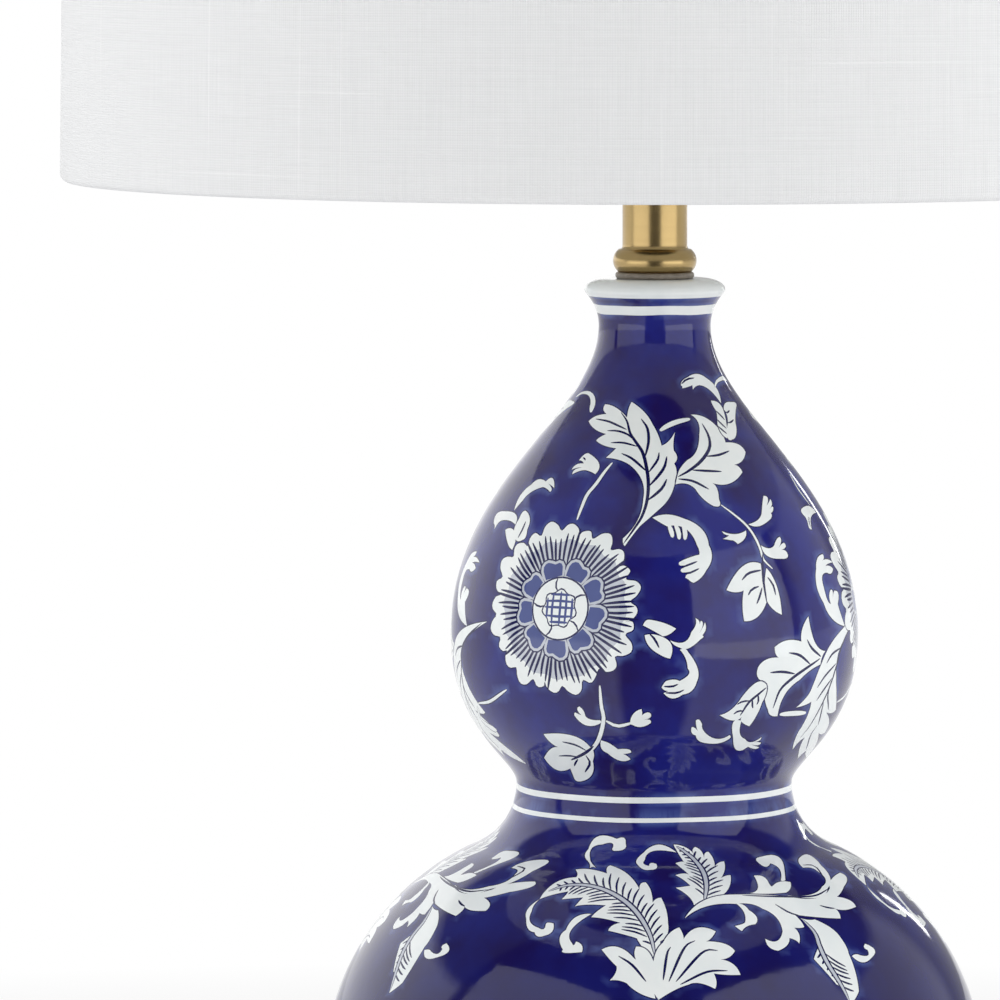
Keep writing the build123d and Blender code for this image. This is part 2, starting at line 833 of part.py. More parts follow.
with BuildPart() as shade_top_ring:
    hoop(top_hoop)

with BuildPart() as shade_bottom_ring:
    hoop(bottom_hoop)

# Spider: a washer on the harp's stud and arms welded to its rim
with BuildPart() as spider_washer:
    upright_ring(washer_bottom, shade_washer_thickness, shade_washer_radius, post_radius + shade_washer_play)

spider_arms = {}
for index in range(arm_count):
    with BuildPart() as spider_arms[f"spider_arm_{index + 1}"]:
        add(spider_arm(arm_radius, index))

# Turned nut with a ball
with BuildPart() as finial:
    neck_bottom = finial_bottom + finial_base_height
    neck_top = neck_bottom + finial_neck_height
    ball_level = neck_top + sqrt(finial_ball_radius**2 - finial_neck_radius**2)
    tip_level = ball_level + sqrt(finial_ball_radius**2 - finial_tip_radius**2)
    with BuildSketch(Plane.XZ):
        with BuildLine():
            Polyline(
                (0, tip_level + finial_tip_radius),
                (0, finial_bottom),
                (finial_base_radius, finial_bottom),
                (finial_base_radius, neck_bottom - edge_rounding),
            )
            Bezier(
                (finial_base_radius, neck_bottom - edge_rounding),
                (finial_base_radius, neck_bottom),
                (finial_neck_radius, neck_bottom),
                (finial_neck_radius, neck_top),
            )
            ThreePointArc(
                (finial_neck_radius, neck_top),
                (finial_ball_radius, ball_level),
                (finial_tip_radius, tip_level),
            )
            CenterArc((0, tip_level), finial_tip_radius, 0, 90)
        make_face()
    revolve(axis=Axis.Z)
    bored(finial_bottom, post_top + finial_hole_spare - finial_bottom, post_radius + slip_gap)

pieces = {
    "gourd_lower": gourd_lower,
    "gourd_upper": gourd_upper,
    "cord_grommet": cord_grommet,
    "felt_pad": felt_pad,
    "bottom_cover": bottom_cover,
    "base_washer": base_washer,
    "lock_washer": lock_washer,
    "base_nut": base_nut,
    "threaded_rod": threaded_rod,
    "neck_washer": neck_washer,
    "neck_collar": neck_collar,
    "neck_tube": neck_tube,
    "neck_cap": neck_cap,
    "harp_saddle": harp_saddle,
    "harp_bow": harp_bow,
    "harp_stud": harp_stud,
    "harp_sleeve_left": harp_sleeve_left,
    "harp_sleeve_right": harp_sleeve_right,
    "socket_cap": socket_cap,
    "socket_shell": socket_shell,
    "socket_liner": socket_liner,
    "socket_interior": socket_interior,
    "terminal_screws": terminal_screws,
    "screw_shell": screw_shell,
    "centre_contact": centre_contact,
    "switch_shaft": switch_shaft,
    "switch_knob": switch_knob,
    "bulb_tip": bulb_tip,
    "bulb_insulator": bulb_insulator,
    "bulb_screw_base": bulb_screw_base,
    "bulb_housing": bulb_housing,
    "bulb_globe": bulb_globe,
    "shade_cover": shade_cover,
    "shade_liner": shade_liner,
    "shade_top_ring": shade_top_ring,
    "shade_bottom_ring": shade_bottom_ring,
    "spider_washer": spider_washer,
    **spider_arms,
    "finial": finial,
}

os.makedirs("parts", exist_ok=True)
for name, piece in pieces.items():
    piece.part.label = name
    export_step(piece.part, f"parts/{name}.step")
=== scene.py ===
import json
import random
from math import asin, atan2, ceil, cos, degrees, hypot, pi, radians, sin, sqrt, tau

import bpy
import numpy as np
from mathutils import Euler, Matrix, Vector, geometry, kdtree


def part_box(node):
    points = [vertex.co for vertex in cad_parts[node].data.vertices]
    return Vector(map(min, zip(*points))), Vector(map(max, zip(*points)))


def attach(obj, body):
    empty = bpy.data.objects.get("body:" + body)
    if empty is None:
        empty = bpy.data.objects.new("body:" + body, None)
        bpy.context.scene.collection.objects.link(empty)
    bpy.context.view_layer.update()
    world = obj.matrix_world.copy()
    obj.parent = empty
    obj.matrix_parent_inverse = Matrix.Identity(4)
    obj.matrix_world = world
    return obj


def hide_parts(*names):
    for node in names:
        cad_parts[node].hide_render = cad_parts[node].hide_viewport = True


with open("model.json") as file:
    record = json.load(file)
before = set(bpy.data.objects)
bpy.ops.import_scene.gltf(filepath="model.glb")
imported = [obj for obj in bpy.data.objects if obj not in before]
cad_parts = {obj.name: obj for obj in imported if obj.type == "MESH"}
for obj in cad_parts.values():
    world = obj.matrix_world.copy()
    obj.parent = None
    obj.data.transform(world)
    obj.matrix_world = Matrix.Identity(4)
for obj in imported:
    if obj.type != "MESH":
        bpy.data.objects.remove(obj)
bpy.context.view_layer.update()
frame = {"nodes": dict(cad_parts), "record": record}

scene = bpy.context.scene
scene.view_settings.view_transform = "Standard"
SEED = 7
hand = random.Random(SEED)
MM = 0.001

# Camera, fitted to the photograph: its image is 1000 pixels square
IMAGE = 1000
FOCAL = 8127
SENSOR = 36
CAMERA_BACK = 2780
CAMERA_LEVEL = 516.914
CAMERA_PITCH = 4.545
CAMERA_YAW = 1.092
CAMERA_REACH = 100

# Porcelain body in millimetres, with the sizes of its solids
body_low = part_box("gourd_lower")[0][2] / MM
waist_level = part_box("gourd_upper")[0][2] / MM
lip_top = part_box("gourd_upper")[1][2] / MM
foot_radius, foot_height, foot_rounding = 66, 16, 1.5
recess_radius, recess_depth = 57, 22
floor_thickness, wall, top_web = 6, 5, 6
rod_hole = 6
lower_centre_radius, lower_sweep_radius = 26, 88
waist_radius, waist_fillet = 47.3, 24
upper_bulb_radius, upper_bulb_rise = 70, 51
waist_pull, bulb_low_pull = 0.157, 0.651
neck_radius, neck_rise = 19.2, 106.0
bulb_high_pull, neck_pull = 0.5, 0.28
lip_radius, lip_rise, lip_drop, lip_seat_radius = 24.2, 16.4, 4.0, 16.0
flare_low_pull, flare_high_pull = 0.49, 0.3
lip_edge_pull, lip_seat_pull = 0.55, 0.6
cord_hole_radius, cord_hole_level = 4.5, 10

foot_top = body_low + foot_height
recess_top = body_low + recess_depth
floor_top = recess_top + floor_thickness
bulb_level = waist_level + upper_bulb_rise
neck_level = bulb_level + neck_rise
lip_edge = lip_top - lip_drop
web_bottom = lip_top - top_web
lower_centre = foot_top + sqrt(lower_sweep_radius**2 - (foot_radius - lower_centre_radius) ** 2)

camera_data = bpy.data.cameras.new("camera")
camera_data.sensor_width = SENSOR
camera_data.lens = FOCAL / IMAGE * SENSOR
camera_data.clip_end = CAMERA_REACH
camera = bpy.data.objects.new("camera", camera_data)
camera.location = Vector((0, -CAMERA_BACK, CAMERA_LEVEL)) * MM
camera.rotation_euler = Euler((radians(90 - CAMERA_PITCH), 0, radians(CAMERA_YAW)))
scene.collection.objects.link(camera)
scene.camera = camera


def spaced(length, step):
    """How many points a run of this length needs."""
    return ceil(length / step) + 1


def straight(start, end, step):
    """Points along a straight run of the profile."""
    return np.linspace(start, end, spaced(hypot(end[0] - start[0], end[1] - start[1]), step))


def arc(middle, radius, start, end, step):
    """Points along an arc of the profile, from one angle to the other in degrees."""
    angle = np.radians(np.linspace(start, end, spaced(abs(radians(end - start)) * radius, step)))
    return np.stack([middle[0] + radius * np.cos(angle), middle[1] + radius * np.sin(angle)], 1)


def bezier(start, pull_start, pull_end, end, step):
    """Points along a cubic curve of the profile."""
    t = np.linspace(0, 1, spaced(hypot(end[0] - start[0], end[1] - start[1]), step))[:, None]
    weights = (1 - t) ** 3, 3 * t * (1 - t) ** 2, 3 * t**2 * (1 - t), t**3
    return sum(weight * np.array(place) for weight, place in zip(weights, (start, pull_start, pull_end, end)))


def gourd_side(inset, lowest, step):
    """Runs of the gourd's side from the level `lowest` to the neck, moved in by `inset`."""
    sweep = lower_sweep_radius - inset
    lowest_angle = degrees(asin((lowest - lower_centre) / sweep))
    reach = waist_radius + waist_fillet - lower_centre_radius
    tangent = degrees(atan2(waist_level - lower_centre, reach))
    waist, bulb, neck = (radius - inset for radius in (waist_radius, upper_bulb_radius, neck_radius))
    return [
        arc((lower_centre_radius, lower_centre), sweep, lowest_angle, tangent, step),
        arc((waist_radius + waist_fillet, waist_level), waist_fillet + inset, 180 + tangent, 180, step),
        bezier(
            (waist, waist_level),
            (waist, waist_level + waist_pull * upper_bulb_rise),
            (bulb, bulb_level - bulb_low_pull * upper_bulb_rise),
            (bulb, bulb_level),
            step,
        ),
        bezier(
            (bulb, bulb_level),
            (bulb, bulb_level + bulb_high_pull * neck_rise),
            (neck, neck_level - neck_pull * neck_rise),
            (neck, neck_level),
            step,
        ),
    ]


# Profile of the body as runs of (radius, height), all the way round its section
COARSE, FINE, EDGE = 20, 3.5, 0.6
inner_neck = neck_radius - wall
inner_sides = gourd_side(wall, floor_top, COARSE)
under_runs = [
    straight((rod_hole, recess_top), (recess_radius, recess_top), COARSE),
    straight((recess_radius, recess_top), (recess_radius, body_low), FINE),
    straight((recess_radius, body_low), (foot_radius - foot_rounding, body_low), FINE),
]
outer_runs = [
    arc((foot_radius - foot_rounding, body_low + foot_rounding), foot_rounding, -90, 0, EDGE),
    straight((foot_radius, body_low + foot_rounding), (foot_radius, foot_top), FINE),
    *gourd_side(0, foot_top, FINE),
    bezier(
        (neck_radius, neck_level),
        (neck_radius, neck_level + flare_low_pull * lip_rise),
        (lip_radius, lip_edge - flare_high_pull * lip_drop),
        (lip_radius, lip_edge),
        EDGE,
    ),
    bezier(
        (lip_radius, lip_edge),
        (lip_radius, lip_edge + lip_edge_pull * lip_drop),
        (lip_seat_radius + lip_seat_pull * (lip_radius - lip_seat_radius), lip_top),
        (lip_seat_radius, lip_top),
        EDGE,
    ),
]
top_runs = [straight((lip_seat_radius, lip_top), (rod_hole, lip_top), FINE)]
inner_runs = [
    straight((rod_hole, lip_top), (rod_hole, web_bottom), COARSE),
    straight((rod_hole, web_bottom), (inner_neck, web_bottom), COARSE),
    straight((inner_neck, web_bottom), (inner_neck, neck_level), COARSE),
    *[run[::-1] for run in reversed(inner_sides)],
    straight(inner_sides[0][0], (rod_hole, floor_top), COARSE),
    straight((rod_hole, floor_top), (rod_hole, recess_top), COARSE),
]
runs = under_runs + outer_runs + top_runs + inner_runs
first_outer = len(under_runs)
last_outer = first_outer + len(outer_runs) + len(top_runs)

# Length along the profile at every point of every run, and the outward direction there
run_lengths = []
run_normals = []
travelled = 0
for run in runs:
    steps = np.hypot(*np.diff(run, axis=0).T)
    run_lengths.append(travelled + np.concatenate([[0], np.cumsum(steps)]))
    travelled = run_lengths[-1][-1]
    along = np.gradient(run, run_lengths[-1], axis=0, edge_order=2 if len(run) > 2 else 1)
    along /= np.hypot(*along.T)[:, None]
    run_normals.append(np.stack([along[:, 1], -along[:, 0]], 1))
profile = np.vstack(runs)
profile_length = np.concatenate(run_lengths)
outer_profile = np.vstack(outer_runs)
outer_length = np.concatenate(run_lengths[first_outer : first_outer + len(outer_runs)])
painted_start, painted_end = run_lengths[first_outer][0], run_lengths[last_outer - 1][-1]


def radius_at(length):
    """Radius of the body at a length along its profile."""
    return np.interp(length, profile_length, profile[:, 0])


def length_at(level):
    """Length along the profile at a level of the outside."""
    return np.interp(level, outer_profile[:, 1], outer_length)


# How far before the axis a line of sight is searched, in radii of the upper bulb, and in how many steps
SEARCH_BEFORE, SEARCH_STEPS = 2.6, 1000


def seen(pixels):
    """Turn about the axis and length along the profile of the places that the camera sees at these pixels."""
    turn = np.array(camera.rotation_euler.to_matrix())
    rays = np.array([(x - IMAGE / 2, IMAGE / 2 - y, -FOCAL) for x, y in pixels]) @ turn.T
    rays /= np.linalg.norm(rays, axis=1)[:, None]
    nearest = CAMERA_BACK - SEARCH_BEFORE * upper_bulb_radius
    reach = np.linspace(nearest, CAMERA_BACK + upper_bulb_radius, SEARCH_STEPS)
    places = np.array(camera.location) / MM + rays[:, None, :] * reach[None, :, None]
    clearance = np.hypot(places[..., 0], places[..., 1]) - np.interp(
        places[..., 2], outer_profile[:, 1], outer_profile[:, 0]
    )
    touched = clearance <= 0
    first = np.where(touched.any(1), touched.argmax(1), clearance.argmin(1))
    x, y, z = places[np.arange(len(rays)), first].T
    return np.stack([np.arctan2(x, -y), length_at(z)], 1)


def spot(turn, level):
    """The same for a turn in degrees and a level in millimetres."""
    return np.array([radians(turn), length_at(level)])


# Ornament. Shapes are outlines in turn and length along the profile, later ones painted over earlier ones
WHITE, LINE, PETAL, PALE, TINT, GROUND = range(6)
# Shares of white, drawn line and petal blue in each paint
PAINTS = {
    WHITE: (1, 0, 0),
    LINE: (0, 1, 0),
    PETAL: (0, 0, 1),
    PALE: (0.6, 0, 1),
    TINT: (0.62, 0, 1),
    GROUND: (0, 0, 0),
}
# Width of the dark border round white shapes, and the spacing of the points along a stroke
BORDER = 0.42
STROKE_STEP = 1.3
POINTS_BETWEEN_MARKS, FEWEST_POINTS = 10, 6

# Enlargements of the photograph that the motifs were read from: left, top and scale
SHOULDER = 560, 365, 7.467
RIGHT_SHOULDER = 660, 360, 7.467
LEFT_SIDE = 440, 440, 7.127
RIGHT_SIDE = 640, 560, 6.817
RIGHT_EDGE = 700, 400, 6.533
UNDER_FLOWER = 540, 660, 4.7515
CREST = 520, 826, 7.127
RIGHT_CREST = 690, 826, 5.807


def flatten(places, middle):
    """Places on the body in millimetres on a flat sheet round `middle`."""
    places = np.asarray(places)
    return np.stack([(places[:, 0] - middle[0]) * radius_at(places[:, 1]), places[:, 1] - middle[1]], 1)


def wrap(points, middle):
    """Points of that flat sheet back on the body."""
    length = points[:, 1] + middle[1]
    return np.stack([middle[0] + points[:, 0] / radius_at(length), length], 1)


def smooth(points, step=STROKE_STEP):
    """Points on a smooth curve through given ones, closer together at its ends, and their shares of it."""
    ends = np.vstack([2 * points[0] - points[1], points, 2 * points[-1] - points[-2]])
    t = np.linspace(0, 1, POINTS_BETWEEN_MARKS, endpoint=False)[:, None]
    pieces = [
        0.5 * (2 * b + (c - a) * t + (2 * a - 5 * b + 4 * c - d) * t**2 + (3 * b - a - 3 * c + d) * t**3)
        for a, b, c, d in zip(ends, ends[1:], ends[2:], ends[3:])
    ]
    curve = np.vstack([*pieces, points[-1:]])
    along = np.concatenate([[0], np.cumsum(np.hypot(*np.diff(curve, axis=0).T))])
    count = max(FEWEST_POINTS, spaced(along[-1], step))
    chosen = along[-1] * (0.5 - 0.5 * np.cos(np.linspace(0, pi, count)))
    return np.stack([np.interp(chosen, along, curve[:, k]) for k in (0, 1)], 1), chosen / along[-1]


def sideways(curve, closed=False):
    """Direction to the right of a curve at each of its points."""
    slope = np.roll(curve, -1, 0) - np.roll(curve, 1, 0) if closed else np.gradient(curve, axis=0)
    return np.stack([slope[:, 1], -slope[:, 0]], 1) / np.hypot(*slope.T)[:, None]


# Width of a brush stroke from its start, 0, to its end, 1
STROKES = {
    "band": lambda t: np.sin(pi * t) ** 0.3,
    "curl": lambda t: (0.25 + 0.75 * t) * np.minimum(1, t / 0.05) * np.minimum(1, (1 - t) / 0.15) ** 0.5,
    "vein": lambda t: 1.25 * np.sin(pi * t) ** 0.42,
}


def leaf_edge(marks):
    """Points round a leaf, whose marks are in turn a corner and the middle of the bow to the next corner."""
    edge = []
    for corner, bow, following in zip(marks[::2], marks[1::2], np.roll(marks[::2], -1, 0)):
        pull = 2 * bow - (corner + following) / 2
        steps = max(2, spaced(np.hypot(*(following - corner)), STROKE_STEP))
        for t in np.linspace(0, 1, steps, endpoint=False):
            edge.append((1 - t) ** 2 * corner + 2 * t * (1 - t) * pull + t**2 * following)
    return np.array(edge)


def grown(edge, grow):
    """A closed edge moved outwards."""
    x, y = edge.T
    turning = np.sign(np.sum(x * np.roll(y, -1) - np.roll(x, -1) * y))
    return edge + grow * turning * sideways(edge, True)


def outline(kind, width, places, grow=0.0):
    """Outline of a leaf or of a brush stroke along given places, larger by `grow` all round."""
    middle = np.mean(places, 0)
    marks = flatten(places, middle)
    if kind == "leaf":
        return wrap(grown(leaf_edge(marks), grow), middle)
    curve, t = smooth(marks)
    half = ((width / 2 + grow) * STROKES[kind](t))[:, None]
    return wrap(np.vstack([curve + sideways(curve) * half, (curve - sideways(curve) * half)[::-1]]), middle)


def marked(view, marks):
    """Places on the body of marks on an enlargement."""
    left, top, scale = view
    return seen([(left + x / scale, top + y / scale) for x, y in marks])


def drawn(view, *strokes):
    """Strokes (kind, width, mark, mark, ...) on an enlargement, with their places on the body."""
    return [(kind, width, marked(view, marks)) for kind, width, *marks in strokes]


def moved(strokes, place, turn, size, flip):
    """A copy of strokes round another place on the body, turned by degrees, scaled and perhaps mirrored."""
    middle = np.mean(np.vstack([places for _, _, places in strokes]), 0)
    spin = np.array([(cos(radians(turn)), -sin(radians(turn))), (sin(radians(turn)), cos(radians(turn)))])
    mirror = np.array([-1 if flip else 1, 1])
    copies = []
    for kind, width, places in strokes:
        points = (flatten(places, middle) * mirror * size) @ spin.T
        copies.append((kind, width * size, wrap(points, place)))
    return copies


def painted(strokes):
    """Shapes of a motif: dark borders first, then the white strokes, then the dark veins."""
    whites = [entry for entry in strokes if entry[0] != "vein"]
    veins = [entry for entry in strokes if entry[0] == "vein"]
    shapes = [(LINE, outline(*entry, BORDER)) for entry in whites]
    shapes += [(WHITE, outline(*entry)) for entry in whites]
    return shapes + [(LINE, outline(*entry)) for entry in veins]


# Plumes: the part of the rib that carries fine lines, and the lines' least length, bow and parts
RIB_STEP, RIB_SPAN, RIB_AHEAD = 0.5, (0.08, 0.9), 0.03
SHORTEST_LINE, LINE_BOW, LINE_PARTS = 1.6, 0.08, (0.1, 0.42, 0.74)
LINE_LEAN, LINE_WIDTH = 52, 0.62
RIB_BORDER, RIB_WIDTH = 2.0, 1.05
PARALLEL = 1e-9


def plume(view, marks, spine, pitch):
    """Lobed leaf with a pale rib between two dark lines, and fine lines from it into the lobes."""
    places = marked(view, marks)
    middle = np.mean(places, 0)
    edge = leaf_edge(flatten(places, middle))
    rib, t = smooth(flatten(marked(view, spine), middle), RIB_STEP)
    shapes = [(LINE, wrap(grown(edge, BORDER), middle)), (WHITE, wrap(edge, middle))]
    rib_places = wrap(rib, middle)
    start, side = edge, np.roll(edge, -1, 0) - edge
    count = int(np.sum(np.hypot(*np.diff(rib, axis=0).T)) / pitch)
    for share in np.linspace(*RIB_SPAN, count):
        foot = np.array([np.interp(share, t, rib[:, k]) for k in (0, 1)])
        ahead = np.array([np.interp(share + RIB_AHEAD, t, rib[:, k]) for k in (0, 1)]) - foot
        for turn in (LINE_LEAN, -LINE_LEAN):
            bearing = atan2(ahead[1], ahead[0]) + radians(turn)
            ray = np.array([cos(bearing), sin(bearing)])
            facing = ray[0] * side[:, 1] - ray[1] * side[:, 0]
            facing[np.abs(facing) < PARALLEL] = PARALLEL
            gap = start - foot
            reach = (gap[:, 0] * side[:, 1] - gap[:, 1] * side[:, 0]) / facing
            along = (gap[:, 0] * ray[1] - gap[:, 1] * ray[0]) / facing
            met = reach[(reach > 0) & (along >= 0) & (along <= 1)]
            if len(met) and met.min() > SHORTEST_LINE:
                bow = LINE_BOW * met.min() * np.array([ray[1], -ray[0]]) * np.sign(turn)
                line = [foot + ray * met.min() * part + bow * sin(pi * part) for part in LINE_PARTS]
                shapes.append((LINE, outline("vein", LINE_WIDTH, wrap(np.array(line), middle))))
    shapes.append((LINE, outline("vein", RIB_BORDER, rib_places)))
    shapes.append((TINT, outline("vein", RIB_WIDTH, rib_places)))
    return shapes


def round_about(middle, radius, angle):
    """Places at a radius and an angle round the middle of a flower."""
    return wrap(np.stack([radius * np.cos(angle), radius * np.sin(angle)], 1), middle)


def disc(middle, radius, ripple=0.0, bumps=1, lean=0.0, count=36):
    """Outline of a round or rippled patch in a flower's middle."""
    t = np.linspace(0, tau, count, endpoint=False)
    return round_about(middle, radius * (1 + ripple * np.sin(bumps * (t - lean))), t)


# Flower, in millimetres and in shares of its radius. Its petals drift off its middle as painted
FLOWER_RADIUS = 30.3
RIM_DRIFT, RIM_STEP = -1.3, 0.8
PETALS = 8
RAYS_PER_PETAL = 9
LOBES = 9
PETAL_LEAN, LOBE_LEAN = 0.66, 0.49
PETAL_UNEVEN, PETAL_SHIFT = 0.03, 0.06
TINT_REACH, TINT_RIPPLE, TINT_POINTS = 0.78, 0.03, 60
RAY_START, RAY_END, RAY_SPREAD, PARTING_END = 0.5, 0.8, 0.1, 0.94
RAY_WIDTH, PARTING_WIDTH = 0.78, 0.85
RAY_SHIFT, RAY_BEND = 0.12, 0.03
LOBE_LAYERS = (LINE, 0.55), (PALE, 0), (PETAL, -0.95)
BUTTON_LAYERS = (LINE, 10.9), (WHITE, 10.3)
EYE_RADIUS, EYE_BORDER = 5.9, 0.5
EYE_RIPPLE, EYE_BUMPS, EYE_LEAN = 0.09, 7, 0.4
LATTICE_PITCH, LATTICE_HALF, LATTICE_WIDTH = 2.3, 2, 0.9
LATTICE_SHIFT, LATTICE_BOW = 0.12, 0.25
SPOKES, SPOKE_LEAN, SPOKE_WIDTH = 5, 0.5, 0.55
SPOKE_START, SPOKE_END, SPOKE_BENDS = 5.6, 10.6, (0, 0.1, -0.02)
# Edge of a petal across its width, with three unlike bumps, and of a lobe of the inner ring, with two
PETAL_EDGE = (
    (0, 0.85), (0.05, 0.925), (0.16, 0.975), (0.25, 0.96), (0.34, 0.89), (0.42, 0.965),
    (0.53, 1.02), (0.64, 0.98), (0.73, 0.88), (0.83, 0.95), (0.95, 0.92),
)
LOBE_EDGE = (
    (-0.48, 10.5), (-0.5, 13.0), (-0.47, 14.8), (-0.38, 16.2), (-0.25, 16.7), (-0.12, 16.3), (-0.03, 16.9),
    (0.1, 17.6), (0.24, 17.5), (0.37, 16.6), (0.46, 14.9), (0.5, 12.8), (0.48, 10.5),
)


def flower(middle, size=1.0):
    """Chrysanthemum head: bumpy petals with dense rays, a ring of lobes and a latticed eye, hand-centred."""
    reach = FLOWER_RADIUS * size
    petal = tau / PETALS
    edge = []
    for index in range(PETALS):
        uneven = 1 + PETAL_UNEVEN * hand.uniform(-1, 1)
        shift = PETAL_SHIFT * hand.uniform(-1, 1)
        for t, depth in PETAL_EDGE:
            edge.append((reach * depth * uneven, PETAL_LEAN + petal * (index + t + shift)))
    radius, angle = np.array(edge + edge[:1]).T
    drift = RIM_DRIFT * size
    rim = smooth(np.stack([radius * np.cos(angle) + drift, radius * np.sin(angle)], 1), RIM_STEP)[0][:-1]
    shapes = [(LINE, wrap(grown(rim, BORDER), middle)), (WHITE, wrap(rim, middle))]
    tint = disc(middle, TINT_REACH * reach, TINT_RIPPLE, 2 * PETALS, PETAL_LEAN, TINT_POINTS)
    shapes.append((TINT, tint))
    for index in range(PETALS * RAYS_PER_PETAL):
        angle = PETAL_LEAN + petal * (index + RAY_SHIFT * hand.uniform(-1, 1)) / RAYS_PER_PETAL
        between = index % RAYS_PER_PETAL == 0
        outer = reach * (PARTING_END if between else RAY_END + RAY_SPREAD * hand.random())
        bend = angle + RAY_BEND * hand.uniform(-1, 1)
        ray = round_about(middle, np.linspace(RAY_START * reach, outer, 3), np.array([angle, angle, bend]))
        shapes.append((LINE, outline("vein", (PARTING_WIDTH if between else RAY_WIDTH) * size, ray)))
    across, depth = np.array(LOBE_EDGE).T
    for paint, grow in LOBE_LAYERS:
        for index in range(LOBES):
            turn = across * tau / LOBES + LOBE_LEAN + tau * index / LOBES
            lobe = np.stack([depth * size * np.cos(turn), depth * size * np.sin(turn)], 1)
            shapes.append((paint, wrap(grown(lobe, grow * size), middle)))
    for paint, radius in BUTTON_LAYERS:
        shapes.append((paint, disc(middle, radius * size)))
    eye = EYE_RADIUS * size
    for paint, radius in ((LINE, eye + EYE_BORDER * size), (WHITE, eye)):
        shapes.append((paint, disc(middle, radius, EYE_RIPPLE, EYE_BUMPS, EYE_LEAN)))
    for index in range(-LATTICE_HALF, LATTICE_HALF + 1):
        across = LATTICE_PITCH * size * (index + LATTICE_SHIFT * hand.uniform(-1, 1))
        half = sqrt(eye**2 - across**2)
        bow = across + LATTICE_BOW * hand.uniform(-1, 1)
        line = np.array([(-half, across), (0, bow), (half, across)])
        for places in (line, line[:, ::-1]):
            shapes.append((PETAL, outline("band", LATTICE_WIDTH * size, wrap(places, middle))))
    for index in range(SPOKES):
        turn = SPOKE_LEAN + tau * index / SPOKES
        away = np.linspace(SPOKE_START, SPOKE_END, 3) * size
        places = round_about(middle, away, turn + np.array(SPOKE_BENDS))
        shapes.append((LINE, outline("vein", SPOKE_WIDTH * size, places)))
    return shapes


# White lines right round the body: they start and end past the seam, in degrees. Their waver is a sum of
# waves, each with its count round the body, its shift and its share, and the upper edge wavers less
RING_START, RING_END, RING_POINTS = -120, 280, 200
WAVES = (3, 1, 1), (7, 0, 0.6)
UPPER_WAVER = 0.8


def white_ring(low, high, waver=0.0):
    """A white line right round the body, between two lengths along the profile."""
    turn = np.linspace(radians(RING_START), radians(RING_END), RING_POINTS)
    wobble = waver * sum(share * np.sin(count * turn + shift) for count, shift, share in WAVES)
    lower, upper = np.stack([turn, low + wobble], 1), np.stack([turn, high + UPPER_WAVER * wobble], 1)
    return (WHITE, np.vstack([lower, upper[::-1]]))


big_leaf = drawn(
    SHOULDER,
    ("leaf", 0, (470, 1295), (580, 1160), (622, 1000), (612, 860), (520, 745), (440, 708), (345, 692),
     (385, 655), (420, 622), (330, 600), (272, 565), (295, 542), (345, 515), (262, 478), (215, 420),
     (268, 382), (350, 365), (325, 332), (338, 293), (420, 318), (502, 392), (512, 330), (535, 275),
     (628, 350), (690, 440), (732, 520), (758, 602), (812, 568), (858, 500), (846, 580), (850, 640),
     (874, 690), (852, 735), (870, 790), (862, 850), (832, 960), (770, 1050), (690, 1122), (600, 1200),
     (540, 1275), (485, 1352), (472, 1330)),
    ("band", 1.25, (392, 728), (335, 795), (268, 890), (205, 965), (165, 1055), (128, 1158)),
    ("vein", 0.95, (474, 1335), (545, 1235), (612, 1130), (650, 1010), (660, 880), (645, 760), (618, 655),
     (570, 580), (525, 510), (500, 420), (455, 350)),
    ("vein", 0.65, (268, 402), (360, 420), (440, 455), (500, 482)),
    ("vein", 0.65, (352, 490), (430, 492), (500, 515), (545, 552)),
    ("vein", 0.65, (378, 580), (470, 580), (580, 608)),
    ("vein", 0.75, (458, 658), (540, 700), (645, 792)),
    ("vein", 0.8, (605, 400), (652, 470), (662, 560), (648, 640), (630, 695)),
    ("vein", 0.7, (740, 650), (728, 710), (662, 802)),
    ("vein", 0.85, (798, 680), (780, 760), (732, 830), (665, 905)),
    ("vein", 0.85, (798, 850), (768, 912), (720, 960), (652, 1012)),
)
bud = drawn(
    SHOULDER,
    ("leaf", 0, (265, 815), (292, 735), (212, 658), (180, 670), (142, 712), (165, 716), (180, 735),
     (125, 742), (88, 782), (128, 768), (165, 765), (112, 782), (92, 816), (150, 790), (195, 785),
     (235, 798)),
    ("vein", 0.5, (172, 690), (185, 700), (192, 712)),
)
side_leaf = drawn(
    SHOULDER,
    ("leaf", 0, (975, 370), (1032, 430), (1040, 520), (1018, 640), (950, 710), (905, 760), (882, 805),
     (872, 845), (862, 892), (940, 885), (1010, 925), (1070, 1000), (1148, 1054), (1192, 1050),
     (1185, 1000), (1170, 920), (1135, 880), (1262, 885), (1362, 800), (1320, 750), (1248, 742),
     (1345, 728), (1384, 650), (1330, 592), (1235, 578), (1200, 500), (1140, 430), (1060, 382)),
    ("band", 1.9, (745, 492), (800, 455), (880, 422), (972, 402)),
    ("vein", 0.95, (1058, 435), (1108, 530), (1114, 620), (1050, 718), (960, 790), (880, 835)),
    ("vein", 0.75, (1090, 682), (1180, 672), (1265, 640)),
    ("vein", 0.8, (985, 784), (1090, 790), (1208, 795)),
    ("vein", 0.8, (880, 850), (990, 866), (1112, 928)),
)
